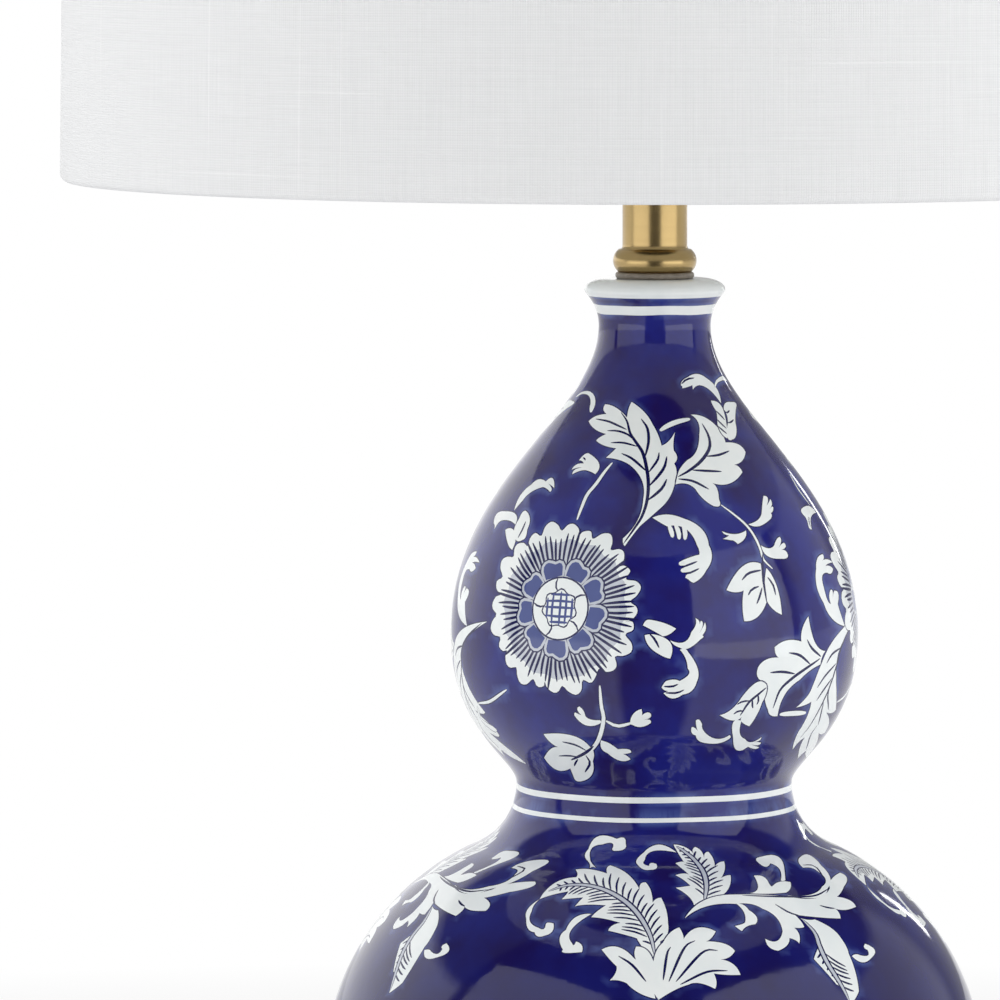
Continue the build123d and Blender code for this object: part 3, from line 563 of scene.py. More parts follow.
small_leaf = drawn(
    SHOULDER,
    ("leaf", 0, (1125, 265), (1185, 285), (1222, 345), (1242, 440), (1250, 548), (1205, 512), (1174, 440),
     (1172, 380), (1165, 340), (1138, 300)),
    ("leaf", 0, (1256, 555), (1246, 500), (1250, 440), (1246, 380), (1222, 330), (1232, 285), (1275, 277),
     (1314, 285), (1312, 330), (1306, 400), (1316, 460), (1312, 530), (1285, 556), (1270, 562)),
    ("vein", 0.6, (1160, 340), (1195, 372), (1232, 412)),
    ("vein", 0.6, (1168, 402), (1205, 440), (1244, 475)),
    ("vein", 0.6, (1176, 455), (1210, 485), (1246, 515)),
    ("vein", 0.55, (1224, 345), (1245, 356), (1264, 338)),
    ("vein", 0.55, (1248, 432), (1275, 426), (1294, 406)),
)
crown_curls = drawn(
    SHOULDER,
    ("leaf", 0, (1200, 285), (1172, 180), (1092, 98), (1020, 66), (950, 92), (912, 118), (902, 152),
     (912, 160), (912, 174), (945, 166), (988, 150), (990, 170), (992, 183), (1010, 160), (1040, 150),
     (1120, 188)),
    ("vein", 0.6, (905, 142), (945, 106), (1002, 96)),
)
side_curls = drawn(
    SHOULDER,
    ("curl", 1.9, (1152, 168), (1172, 122), (1212, 98), (1242, 112)),
    ("curl", 2.4, (118, 240), (165, 208), (222, 212), (248, 262), (232, 355)),
    ("curl", 3.0, (-615, 2540), (-590, 2640), (-525, 2700), (-470, 2728)),
)
hook = drawn(
    SHOULDER,
    ("leaf", 0, (690, 1140), (800, 1116), (920, 1145), (1055, 1222), (1110, 1345), (1132, 1440),
     (1090, 1535), (1050, 1590), (997, 1626), (970, 1612), (950, 1588), (985, 1530), (985, 1470),
     (1040, 1420), (1020, 1340), (985, 1270), (930, 1215), (860, 1198), (800, 1205), (742, 1172)),
    ("band", 1.6, (812, 1190), (832, 1245), (842, 1290)),
    ("band", 1.6, (858, 1185), (884, 1245), (890, 1305)),
    ("band", 1.6, (915, 1185), (934, 1245), (932, 1308)),
    ("band", 2.2, (1060, 1425), (970, 1462), (886, 1488)),
    ("band", 2.1, (1060, 1480), (985, 1515), (900, 1538)),
    ("band", 2.1, (1055, 1530), (990, 1568), (935, 1588)),
    ("vein", 0.6, (1028, 1465), (960, 1492), (905, 1512)),
    ("vein", 0.6, (1040, 1518), (980, 1548), (930, 1562)),
)
right_stem = drawn(
    RIGHT_SHOULDER,
    ("band", 0.9, (452, 1080), (540, 1145), (640, 1230), (702, 1315), (745, 1405), (772, 1490),
     (840, 1560)),
    ("leaf", 0, (660, 1226), (735, 1190), (758, 1130), (765, 1060), (772, 1013), (802, 1030), (795, 1085),
     (812, 1060), (820, 1038), (834, 1075), (815, 1115), (835, 1095), (844, 1100), (840, 1130),
     (825, 1142), (834, 1160), (828, 1182), (790, 1216), (745, 1240), (700, 1242)),
    ("leaf", 0, (640, 1272), (560, 1300), (462, 1278), (480, 1300), (515, 1310), (490, 1325), (468, 1336),
     (500, 1340), (530, 1346), (552, 1350), (580, 1374), (632, 1330)),
    ("leaf", 0, (752, 1384), (810, 1406), (850, 1386), (870, 1340), (890, 1320), (902, 1350), (885, 1400),
     (905, 1375), (926, 1364), (938, 1395), (905, 1420), (930, 1420), (947, 1440), (948, 1476),
     (900, 1484), (800, 1462)),
)
three_leaf = drawn(
    RIGHT_SIDE,
    ("leaf", 0, (822, 25), (700, 42), (588, 205), (650, 220), (706, 208), (698, 310), (710, 417),
     (800, 388), (862, 285), (838, 150)),
    ("leaf", 0, (862, 55), (932, 180), (964, 372), (900, 330), (858, 262), (850, 150)),
    ("vein", 0.75, (832, -40), (838, 120), (862, 290)),
    ("vein", 0.7, (826, 68), (740, 90), (692, 138)),
    ("vein", 0.65, (812, 178), (762, 200), (734, 242)),
    ("vein", 0.65, (832, 185), (815, 250), (794, 302)),
    ("vein", 0.65, (868, 115), (905, 170), (926, 242)),
)
edge_curls = drawn(
    RIGHT_SIDE,
    ("leaf", 0, (1396, 450), (1310, 402), (1250, 290), (1204, 180), (1200, 60), (1210, -12), (1246, -40),
     (1252, -12), (1240, 5), (1275, -5), (1312, 15), (1280, 25), (1265, 40), (1290, 40), (1314, 60),
     (1302, 92), (1275, 86), (1240, 110), (1252, 190), (1275, 270), (1300, 300), (1288, 250), (1297, 204),
     (1312, 210), (1312, 260), (1318, 222), (1326, 208), (1352, 230), (1346, 300), (1372, 380)),
)
leaf_pair = drawn(
    RIGHT_SIDE,
    ("leaf", 0, (20, 445), (38, 415), (60, 406), (160, 428), (246, 468), (200, 506), (155, 520),
     (90, 482)),
    ("leaf", 0, (32, 512), (60, 585), (130, 642), (170, 662), (206, 672), (218, 590), (175, 535),
     (100, 508)),
    ("leaf", 0, (205, 548), (300, 560), (350, 490), (380, 440), (378, 396), (407, 430), (385, 490),
     (405, 440), (414, 413), (428, 440), (405, 500), (432, 450), (442, 424), (448, 470), (425, 512),
     (432, 525), (410, 542), (330, 602), (270, 596), (235, 580)),
    ("leaf", 0, (272, 612), (305, 604), (330, 630), (392, 740), (387, 830), (352, 892), (290, 917),
     (220, 944), (160, 907), (200, 892), (240, 886), (180, 892), (147, 868), (165, 838), (180, 824),
     (230, 814), (270, 825), (332, 780), (325, 740), (310, 670)),
    ("vein", 0.65, (62, 500), (100, 540), (132, 602)),
    ("vein", 0.6, (160, 862), (220, 862), (262, 845)),
    ("vein", 0.6, (170, 905), (250, 906), (302, 884)),
)
right_leaf = drawn(
    RIGHT_SIDE,
    ("leaf", 0, (1262, 620), (1190, 560), (1146, 383), (1104, 470), (1100, 556), (1000, 548), (918, 595),
     (925, 640), (945, 665), (860, 678), (806, 730), (803, 800), (865, 842), (848, 930), (870, 1020),
     (890, 1058), (935, 1064), (985, 920), (1090, 815), (1160, 752), (1228, 712), (1240, 660)),
    ("band", 1.9, (950, 1052), (1040, 1046), (1130, 1042)),
    ("vein", 0.9, (1228, 670), (1130, 740), (1030, 812), (952, 890), (905, 1012)),
    ("vein", 0.75, (1012, 632), (1090, 650), (1160, 712)),
    ("vein", 0.75, (886, 768), (970, 762), (1055, 776)),
    ("vein", 0.75, (1138, 540), (1170, 600), (1234, 660)),
)
long_leaf = drawn(
    RIGHT_SIDE,
    ("leaf", 0, (1462, 372), (1380, 470), (1290, 590), (1230, 720), (1165, 890), (1120, 952),
     (1063, 1006), (1130, 986), (1166, 965), (1140, 1060), (1080, 1170), (1050, 1240), (1040, 1292),
     (1080, 1242), (1122, 1210), (1088, 1280), (1076, 1352), (1105, 1322), (1132, 1298), (1128, 1330),
     (1136, 1348), (1192, 1270), (1216, 1180), (1240, 1188), (1262, 1170), (1288, 1110), (1270, 1040),
     (1310, 1042), (1334, 1020), (1338, 900), (1336, 780), (1350, 640), (1402, 520), (1440, 440)),
    ("vein", 0.75, (1452, 390), (1385, 560), (1335, 730), (1290, 870), (1230, 1000), (1150, 1140),
     (1092, 1212)),
    ("vein", 0.7, (1368, 598), (1310, 640), (1270, 705)),
    ("vein", 0.7, (1335, 705), (1262, 790), (1206, 872)),
    ("vein", 0.7, (1308, 805), (1240, 900), (1200, 962)),
    ("vein", 0.7, (1302, 820), (1280, 920), (1282, 1025)),
    ("vein", 0.7, (1250, 965), (1232, 1050), (1214, 1125)),
    ("vein", 0.65, (1208, 1125), (1160, 1200), (1130, 1295)),
    ("band", 1.0, (1340, 970), (1400, 920), (1470, 800)),
)
under_flower = drawn(
    UNDER_FLOWER,
    ("band", 1.35, (284, 120), (292, 220), (302, 285), (275, 385), (215, 452), (150, 476)),
    ("leaf", 0, (285, 302), (225, 312), (174, 276), (163, 260), (168, 249), (185, 257), (196, 262),
     (178, 235), (188, 220), (207, 240), (216, 265), (240, 282), (285, 286), (292, 294)),
    ("band", 1.2, (312, 288), (368, 314), (440, 298)),
    ("leaf", 0, (428, 303), (442, 258), (482, 233), (485, 260), (470, 275), (505, 250), (527, 256),
     (522, 275), (490, 284), (522, 284), (526, 300), (480, 318), (440, 308), (432, 306)),
    ("leaf", 0, (290, 382), (330, 396), (370, 424), (420, 424), (433, 440), (400, 446), (380, 440),
     (412, 455), (430, 472), (380, 478), (320, 442), (292, 420)),
    ("leaf", 0, (18, 352), (150, 358), (238, 412), (256, 440), (252, 480), (250, 540), (210, 573),
     (180, 577), (165, 565), (150, 530), (145, 515), (80, 522), (20, 465), (50, 424), (85, 414),
     (48, 390)),
    ("vein", 0.95, (256, 408), (215, 442), (148, 476)),
    ("vein", 0.7, (105, 388), (170, 404), (222, 432)),
    ("vein", 0.6, (88, 456), (140, 455), (188, 462)),
    ("vein", 0.7, (218, 452), (238, 490), (214, 534)),
    ("vein", 0.6, (182, 470), (170, 488), (163, 505)),
)
fork_leaf = drawn(
    RIGHT_SIDE,
    ("leaf", 0, (860, 848), (790, 836), (690, 940), (620, 1020), (543, 1058), (630, 1094), (695, 1070),
     (690, 1102), (743, 1133), (792, 1060), (832, 970), (862, 900)),
    ("leaf", 0, (612, 1193), (540, 1220), (470, 1200), (430, 1160), (422, 1120), (402, 1088), (380, 1094),
     (385, 1140), (396, 1166), (362, 1138), (349, 1150), (353, 1180), (380, 1196), (400, 1232),
     (450, 1248), (540, 1248), (614, 1214), (616, 1204)),
    ("leaf", 0, (690, 1095), (632, 1110), (635, 1210), (648, 1287), (700, 1295), (720, 1282), (735, 1272),
     (780, 1288), (812, 1276), (780, 1266), (760, 1258), (800, 1263), (824, 1246), (800, 1240),
     (775, 1240), (812, 1230), (827, 1207), (760, 1242), (715, 1220), (680, 1180)),
    ("vein", 0.75, (862, 868), (800, 920), (740, 972), (680, 1062)),
    ("vein", 0.6, (658, 986), (700, 964), (750, 960)),
    ("vein", 0.6, (765, 950), (764, 990), (770, 1012)),
    ("vein", 0.6, (802, 915), (806, 960), (795, 988)),
    ("vein", 0.6, (636, 1052), (670, 1030), (708, 1030)),
)
left_sprig = drawn(
    LEFT_SIDE,
    ("leaf", 0, (530, 502), (575, 395), (650, 320), (705, 280), (755, 295), (806, 272), (816, 346),
     (800, 328), (775, 310), (797, 345), (786, 370), (760, 346), (735, 335), (650, 372), (590, 430),
     (556, 470)),
    ("leaf", 0, (538, 602), (542, 530), (470, 508), (408, 524), (383, 592), (392, 610), (388, 636),
     (420, 586), (455, 570), (500, 576)),
    ("leaf", 0, (545, 716), (528, 650), (565, 560), (590, 515), (612, 504), (642, 560), (622, 640),
     (612, 692), (590, 712), (562, 722)),
    ("leaf", 0, (468, 640), (500, 628), (525, 640), (540, 700), (515, 782), (486, 740)),
    ("vein", 0.65, (612, 578), (590, 632), (556, 700)),
)
edge_hook = drawn(
    RIGHT_EDGE,
    ("band", 0.9, (584, 484), (640, 580), (690, 650), (720, 690)),
    ("leaf", 0, (660, 716), (680, 698), (708, 690), (740, 712), (756, 736), (735, 748), (722, 772),
     (722, 805), (730, 846), (712, 835), (702, 800), (692, 772), (672, 748), (662, 730)),
    ("vein", 0.4, (712, 762), (712, 795), (722, 832)),
)
UPPER_FLOWER = 850, 1200
upper_flower = marked(LEFT_SIDE, [UPPER_FLOWER])[0]

upper_unit = []
for motif in (
    big_leaf, bud, side_leaf, small_leaf, crown_curls, hook, right_stem, three_leaf, edge_curls, leaf_pair,
    right_leaf, long_leaf, under_flower, fork_leaf,
):
    upper_unit += painted(motif)
upper_unit += flower(upper_flower)

swept_plume = plume(
    CREST,
    [(955, 955), (885, 880), (832, 800), (740, 772), (628, 745), (660, 708), (716, 690), (600, 660),
     (508, 650), (550, 608), (612, 565), (480, 560), (393, 572), (430, 530), (452, 508), (370, 515),
     (298, 522), (330, 490), (345, 466), (240, 488), (142, 520), (160, 490), (180, 465), (280, 390),
     (402, 365), (412, 340), (396, 311), (500, 308), (622, 338), (620, 300), (645, 280), (765, 340),
     (850, 448), (862, 410), (895, 401), (932, 460), (945, 545), (970, 520), (1006, 511), (1042, 600),
     (1054, 690), (1050, 770), (1000, 822), (988, 880)],
    [(965, 930), (920, 760), (810, 590), (660, 480), (500, 425), (340, 422), (200, 465)],
    3.0,
)
upright_plume = plume(
    CREST,
    [(1240, 564), (1200, 500), (1110, 440), (1180, 430), (1214, 425), (1160, 380), (1106, 350),
     (1160, 338), (1202, 345), (1150, 300), (1108, 265), (1150, 253), (1172, 260), (1140, 215),
     (1120, 180), (1102, 150), (1095, 132), (1172, 148), (1236, 195), (1230, 170), (1246, 148),
     (1292, 180), (1312, 230), (1316, 195), (1342, 183), (1378, 240), (1386, 296), (1410, 264),
     (1452, 251), (1458, 310), (1432, 370), (1470, 353), (1499, 350), (1492, 430), (1442, 492),
     (1390, 520), (1340, 537), (1295, 552)],
    [(1315, 540), (1328, 420), (1302, 320), (1242, 240), (1170, 180), (1110, 142)],
    2.6,
)
crest_curls = drawn(
    CREST,
    ("leaf", 0, (1115, 188), (990, 132), (880, 190), (832, 240), (836, 272), (880, 308), (930, 312),
     (972, 302), (972, 270), (932, 263), (920, 285), (880, 268), (890, 240), (950, 178)),
    ("leaf", 0, (498, 300), (520, 290), (542, 297), (510, 262), (500, 235), (510, 160), (590, 130),
     (652, 120), (665, 150), (658, 165), (668, 176), (742, 166), (754, 125), (742, 83), (690, 91),
     (558, 73), (488, 165), (463, 210), (485, 250), (500, 276)),
    ("leaf", 0, (145, 520), (58, 590), (46, 660), (58, 730), (105, 756), (128, 787), (180, 780),
     (232, 750), (240, 694), (200, 688), (185, 700), (170, 735), (130, 725), (72, 680), (84, 610),
     (104, 560)),
    ("leaf", 0, (510, 626), (400, 648), (328, 740), (283, 800), (308, 882), (320, 903), (442, 898),
     (442, 850), (400, 823), (384, 850), (370, 835), (352, 770), (402, 700), (452, 662)),
)
rising_leaf = drawn(
    CREST,
    ("leaf", 0, (583, 880), (700, 862), (815, 945), (905, 1040), (965, 1230), (850, 1190), (760, 1120),
     (700, 1100), (640, 1100), (680, 1050), (690, 1000), (640, 950)),
    ("leaf", 0, (828, 858), (900, 880), (945, 950), (975, 1060), (980, 1230), (890, 1080), (822, 940),
     (816, 900)),
    ("leaf", 0, (985, 1240), (950, 980), (1020, 830), (1070, 760), (1135, 722), (1165, 790), (1150, 834),
     (1252, 728), (1394, 750), (1362, 800), (1325, 822), (1455, 838), (1530, 890), (1490, 935),
     (1430, 950), (1520, 985), (1570, 1060), (1470, 1060), (1380, 1050), (1400, 1110), (1390, 1160),
     (1280, 1120), (1200, 1130), (1100, 1170)),
    ("vein", 0.75, (1075, 860), (1048, 910), (1020, 1100)),
    ("vein", 0.75, (1250, 815), (1170, 870), (1060, 1110)),
    ("vein", 0.75, (1410, 885), (1300, 900), (1110, 1110)),
    ("vein", 0.7, (1480, 1030), (1330, 1040), (1140, 1130)),
    ("vein", 0.7, (700, 925), (800, 990), (900, 1110)),
)
scroll = drawn(
    RIGHT_CREST,
    ("leaf", 0, (-30, 535), (80, 432), (240, 398), (450, 400), (620, 418), (745, 415), (812, 362),
     (820, 310), (868, 271), (908, 300), (894, 350), (872, 392), (850, 410), (925, 430), (964, 468),
     (900, 487), (835, 478), (862, 500), (874, 537), (770, 532), (650, 520), (570, 500), (485, 450),
     (600, 510), (662, 586), (640, 592), (604, 590), (632, 630), (634, 682), (610, 662), (575, 650),
     (562, 692), (510, 724), (458, 702), (436, 655), (505, 668), (536, 610), (500, 530), (420, 480),
     (350, 452), (262, 452), (100, 465)),
    ("leaf", 0, (265, 448), (312, 500), (320, 560), (300, 570), (260, 580), (285, 600), (302, 610),
     (330, 582), (380, 570), (388, 530), (340, 488), (310, 458)),
    ("leaf", 0, (345, 390), (392, 360), (370, 288), (422, 293), (457, 332), (470, 350), (482, 345),
     (520, 323), (582, 325), (582, 362), (556, 386), (450, 393)),
    ("leaf", 0, (525, 316), (520, 252), (465, 216), (440, 237), (400, 216), (383, 190), (420, 177),
     (512, 178), (547, 250), (552, 298), (553, 313), (540, 319)),
    ("leaf", 0, (560, 402), (700, 398), (765, 352), (786, 310), (738, 262), (700, 242), (655, 242),
     (628, 210), (635, 183), (692, 168), (762, 230), (812, 300), (797, 362), (740, 416)),
    ("leaf", 0, (940, 755), (1000, 792), (1052, 766), (1072, 720), (1015, 683), (1008, 705), (1030, 720),
     (1032, 752), (985, 750), (960, 744)),
    ("vein", 0.7, (300, 402), (560, 410), (720, 405), (800, 365)),
    ("vein", 0.65, (652, 226), (722, 232), (778, 302)),
    ("vein", 0.65, (750, 460), (800, 474), (840, 478)),
    ("vein", 0.65, (490, 452), (570, 500), (640, 522)),
)
falling_plume = plume(
    RIGHT_CREST,
    [(640, 536), (690, 545), (722, 542), (800, 580), (852, 622), (900, 690), (920, 740), (960, 850),
     (980, 960), (960, 1000), (930, 1040), (900, 960), (850, 920), (790, 850), (718, 772), (730, 735),
     (748, 700), (730, 620)],
    [(650, 540), (722, 620), (752, 700), (800, 800), (880, 930), (925, 1020)],
    2.8,
)

lower_unit = swept_plume + upright_plume + falling_plume
for motif in (crest_curls, scroll, rising_leaf):
    lower_unit += painted(motif)
LOW_FLOWER_TURN, LOW_FLOWER_LEVEL, LOW_FLOWER_SIZE = 43, 86, 1.08
lower_unit += flower(spot(LOW_FLOWER_TURN, LOW_FLOWER_LEVEL), LOW_FLOWER_SIZE)
# Motifs that fill the lower bulb: turn and level of each, its lean, its size and whether it is mirrored
FILL_INS = (
    (big_leaf, 5, 102, 200, 1.15, False),
    (three_leaf, 16, 52, 60, 1, False),
    (leaf_pair, 67, 52, 20, 1, False),
    (right_stem, -14, 80, 30, 0.95, True),
    (hook, 41, 38, 90, 0.8, False),
    (crown_curls, -6, 42, 10, 1.2, False),
)
for motif, turn, level, lean, size, flip in FILL_INS:
    lower_unit += painted(moved(motif, spot(turn, level), lean, size, flip))

# Turns of the hand-painted repeats, spaced unevenly; the first and the last meet at the seam
UPPER_TURNS = (-134, 0, 121, 226)
SPRIG_TURNS = (-134, 0, 226)
LOWER_TURNS = (-96, 0, 96, 180, 264)


def repeated(unit, turns):
    """The unit's shapes at each turn round the body."""
    return [(paint, edge + [radians(turn), 0]) for turn in turns for paint, edge in unit]


# Rings: the lip's were read off the photograph on the axis, from the white edge's end down
AXIS_COLUMN = 654.5
LIP_RINGS = 298.9, 306.5, 315.5
WAIST_LINES = waist_level - 1.1, waist_level - 7.8
FOOT_LINES = foot_top + 7.8, foot_top + 1.8
LINE_HALF = 1.0, 0.8, 1.0, 0.8
LIP_WAVER, LINE_WAVER = 0.15, 0.12
shapes = repeated(upper_unit, UPPER_TURNS) + repeated(painted(left_sprig), SPRIG_TURNS)
shapes += painted(side_curls) + painted(edge_hook) + repeated(lower_unit, LOWER_TURNS)
white_end, blue_end, line_end = seen([(AXIS_COLUMN, row) for row in LIP_RINGS])[:, 1]
shapes.append(white_ring(line_end, blue_end, LIP_WAVER))
shapes.append(white_ring(white_end, painted_end))
for level, half in zip(WAIST_LINES + FOOT_LINES, LINE_HALF):
    middle = length_at(level)
    shapes.append(white_ring(middle - half, middle + half, LINE_WAVER))

# Skin of the body: a mesh cut along the outlines of the ornament
SEAM = radians(-100)
CHART_RADIUS = 70
COLUMNS, FEW_COLUMNS = 150, 30
SEAM_MARGIN = 0.02
HOLE_POINTS = 24
CHART_NEAR = 1e-4
shapes = [
    (paint, edge)
    for paint, edge in shapes
    if edge[:, 0].max() > SEAM - SEAM_MARGIN and edge[:, 0].min() < SEAM + tau + SEAM_MARGIN
]
outlines = []
for _, edge in shapes:
    kept = edge.copy()
    kept[:, 1] = np.clip(kept[:, 1], painted_start, painted_end)
    outlines.append(kept)
hole_turn = np.linspace(0, tau, HOLE_POINTS, endpoint=False)
hole_levels = cord_hole_level + cord_hole_radius * np.sin(hole_turn)


def hole_edge(radius, lengths):
    """Edge of the cord's hole at the rear of a wall of this radius."""
    return np.stack([pi - np.arcsin(cord_hole_radius * np.cos(hole_turn) / radius), lengths], 1)


outer_hole = hole_edge(foot_radius, length_at(hole_levels))
inner_hole = hole_edge(recess_radius, run_lengths[1][0] + recess_top - hole_levels)

points = []
edges = []
for edge in (outer_hole, inner_hole, *outlines):
    start, count = len(points), len(edge)
    points += [Vector((turn * CHART_RADIUS, length)) for turn, length in edge]
    edges += [(start + index, start + (index + 1) % count) for index in range(count)]
for index, lengths in enumerate(run_lengths):
    fine = first_outer <= index < last_outer or (index + 1 == first_outer)
    for length in lengths:
        for turn in np.linspace(SEAM, SEAM + tau, (COLUMNS if fine else FEW_COLUMNS) + 1):
            points.append(Vector((turn * CHART_RADIUS, length)))
border = len(points)
corners = [(SEAM, 0), (SEAM + tau, 0), (SEAM + tau, travelled), (SEAM, travelled)]
points += [Vector((turn * CHART_RADIUS, length)) for turn, length in corners]
edges += [(border, border + 1), (border + 1, border + 2), (border + 2, border + 3), (border + 3, border)]
found = geometry.delaunay_2d_cdt(points, edges, [], 0, CHART_NEAR, False)
chart = np.array([tuple(point) for point in found[0]]) / [CHART_RADIUS, 1]
triangles = np.array(found[2])


def inside(places, edge):
    """Which places lie in an outline, counted by how often it goes round them."""
    winding = np.zeros(len(places), int)
    x, y = places.T
    for (x0, y0), (x1, y1) in zip(edge, np.roll(edge, -1, 0)):
        side = (x1 - x0) * (y - y0) - (x - x0) * (y1 - y0)
        winding += ((y0 <= y) & (y1 > y) & (side > 0)).astype(int) - ((y0 > y) & (y1 <= y) & (side < 0))
    return winding != 0


centres = chart[triangles].mean(1)
kept = ((centres > (SEAM, 0)) & (centres < (SEAM + tau, travelled))).all(1)
kept &= ~inside(centres, outer_hole) & ~inside(centres, inner_hole)
triangles, centres = triangles[kept], centres[kept]
paint_of = np.full(len(triangles), GROUND)
for (paint, _), edge in zip(shapes, outlines):
    near = np.flatnonzero(((centres >= edge.min(0)) & (centres <= edge.max(0))).all(1))
    paint_of[near[inside(centres[near], edge)]] = paint


def mesh_object(name, places, faces, body, finishes):
    """A new piece with these materials, which rides on a body."""
    mesh = bpy.data.meshes.new(name)
    mesh.from_pydata([tuple(place) for place in places], [], [tuple(map(int, face)) for face in faces])
    for material in finishes:
        mesh.materials.append(material)
    piece = bpy.data.objects.new(name, mesh)
    scene.collection.objects.link(piece)
    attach(piece, body)
    return piece


def corner_values(layer, field, values):
    """Writes a value for every corner of every face."""
    layer.data.foreach_set(field, np.asarray(values, np.float32).ravel())


def add(tree, kind, inputs=(), **settings):
    """A shader node with its settings, and its inputs as values or links."""
    node = tree.nodes.new("ShaderNode" + kind)
    for setting, value in settings.items():
        setattr(node, setting, value)
    for socket, value in dict(inputs).items():
        if isinstance(value, bpy.types.NodeSocket):
            tree.links.new(value, node.inputs[socket])
        else:
            node.inputs[socket].default_value = value
    return node


def reckon(tree, operation, *values):
    """Result of a sum on values or links."""
    return add(tree, "Math", dict(enumerate(values)), operation=operation).outputs["Value"]


def finish(name, **sockets):
    """A new material, its node tree, its surface shader and its coordinates in metres."""
    material = bpy.data.materials.new(name)
    material.use_nodes = True
    tree = material.node_tree
    shader = tree.nodes["Principled BSDF"]
    for socket, value in sockets.items():
        shader.inputs[socket.replace("_", " ")].default_value = value
    return material, tree, shader, add(tree, "TexCoord").outputs["Object"]


def colour(red, green, blue):
    """A colour given in screen values from 0 to 255."""
    return tuple(((value / 255 + 0.055) / 1.055) ** 2.4 for value in (red, green, blue)) + (1,)


def blend(tree, factor, low, high):
    """A mix of two colours, each a value or a link."""
    return add(tree, "MixRGB", {"Fac": factor, "Color1": low, "Color2": high}).outputs["Color"]


def ramp(tree, value, low, high, at_low=0.0, at_high=1.0):
    """A value carried from one range to another, held at its ends."""
    inputs = {"Value": value, "From Min": low, "From Max": high, "To Min": at_low, "To Max": at_high}
    return add(tree, "MapRange", inputs).outputs["Result"]


def noise(tree, where, scale, detail=4.0, stretch=None):
    """Noise at a scale per metre, stretched along some axes."""
    if stretch:
        where = add(tree, "Mapping", {"Vector": where, "Scale": stretch}).outputs["Vector"]
    return add(tree, "TexNoise", {"Vector": where, "Scale": scale, "Detail": detail}).outputs["Fac"]


def coated(tree, shader, coat, roughness):
    """Gives a surface its colour and its roughness."""
    tree.links.new(coat, shader.inputs["Base Color"])
    tree.links.new(roughness, shader.inputs["Roughness"])


def raised(tree, shader, height, strength, distance):
    """Relief on a surface from a height."""
    bump = add(tree, "Bump", {"Height": height, "Strength": strength, "Distance": distance})
    tree.links.new(bump.outputs["Normal"], shader.inputs["Normal"])


# Glazed porcelain: cobalt wash with darker and lighter brushwork, painted shade towards the bottom, white
# reserves and dark drawn lines
GROUND_BLUE = colour(33, 22, 88), colour(33, 37, 126)
STREAK_BLUE = colour(25, 25, 104)
PAINTED_SHADE_BLUE = colour(18, 17, 76)
HALO_BLUE = colour(76, 92, 156)
PETAL_BLUE = colour(56, 67, 130), colour(78, 93, 152)
LINE_BLUE = colour(24, 25, 78)
RESERVE_WHITE = colour(238, 244, 245), colour(248, 251, 250)
# Noise: scale per metre, detail and stretch, and the range of its values that counts
WASH, WASH_RANGE = (34, 5), (0.4, 0.62)
STREAKS, STREAK_RANGE, WHITE_RANGE = (90, 3, (1, 1, 0.25)), (0.5, 0.75), (0.3, 0.75)
PATCHES, PATCH_RANGE = (70, 3), (0.45, 0.62)
NOISE_RANGE = 0.3, 0.7
# Levels in metres over which painted shade darkens the ground downwards, for the lower bulb's lesser light,
# and part of its reach that a halo fades over
DARK_BELOW, LIGHT_ABOVE = 0.12, 0.2
HALO_RANGE = 0.1, 0.75
STREAK_SHARE, PAINTED_SHADE_SHARE, HALO_SHARE = 0.5, 0.75, 0.9
# Roughness, and relief as its strength and its depth in metres
GLAZE_CLOUDS, GLAZE_ROUGHNESS = 120, (0.05, 0.1)
GLAZE_RIPPLE, GLAZE_RELIEF = (160, 2), (0.06, 0.0006)
glaze, tree, shader, where = finish("porcelain_glaze", IOR=1.5)
paint_node = add(tree, "Attribute", attribute_name="paint")
channels = add(tree, "SeparateColor", {"Color": paint_node.outputs["Color"]}).outputs
wash = noise(tree, where, *WASH)
streaks = noise(tree, where, *STREAKS)
cobalt = blend(tree, ramp(tree, wash, *WASH_RANGE), *GROUND_BLUE)
cobalt = blend(tree, ramp(tree, streaks, *STREAK_RANGE, 0, STREAK_SHARE), cobalt, STREAK_BLUE)
low_down = add(tree, "SeparateXYZ", {"Vector": where}).outputs["Z"]
# Painted shade: the ground turns a darker blue towards the bottom, standing in for the lesser light on the
# lower bulb
cobalt = blend(tree, ramp(tree, low_down, DARK_BELOW, LIGHT_ABOVE, PAINTED_SHADE_SHARE, 0), cobalt, PAINTED_SHADE_BLUE)
halo = ramp(tree, paint_node.outputs["Alpha"], *HALO_RANGE, 1, 0)
patchy = ramp(tree, noise(tree, where, *PATCHES), *PATCH_RANGE, 0, HALO_SHARE)
cobalt = blend(tree, reckon(tree, "MULTIPLY", halo, patchy), cobalt, HALO_BLUE)
petal_wash = blend(tree, ramp(tree, wash, *NOISE_RANGE), *PETAL_BLUE)
white_wash = blend(tree, ramp(tree, streaks, *WHITE_RANGE), *RESERVE_WHITE)
coat = blend(tree, channels["Blue"], cobalt, petal_wash)
coat = blend(tree, channels["Green"], coat, LINE_BLUE)
coat = blend(tree, channels["Red"], coat, white_wash)
coated(tree, shader, coat, ramp(tree, noise(tree, where, GLAZE_CLOUDS), *NOISE_RANGE, *GLAZE_ROUGHNESS))
raised(tree, shader, noise(tree, where, *GLAZE_RIPPLE), *GLAZE_RELIEF)

CLAY = colour(206, 198, 184), colour(232, 227, 216)
CLAY_GRAIN, CLAY_ROUGHNESS, CLAY_RELIEF = (900, 6), (0.65, 0.85), (0.3, 0.0003)
raw_clay, tree, shader, where = finish("porcelain_unglazed")
grain = noise(tree, where, *CLAY_GRAIN)
coated(tree, shader, blend(tree, grain, *CLAY), ramp(tree, grain, *NOISE_RANGE, *CLAY_ROUGHNESS))
raised(tree, shader, grain, *CLAY_RELIEF)

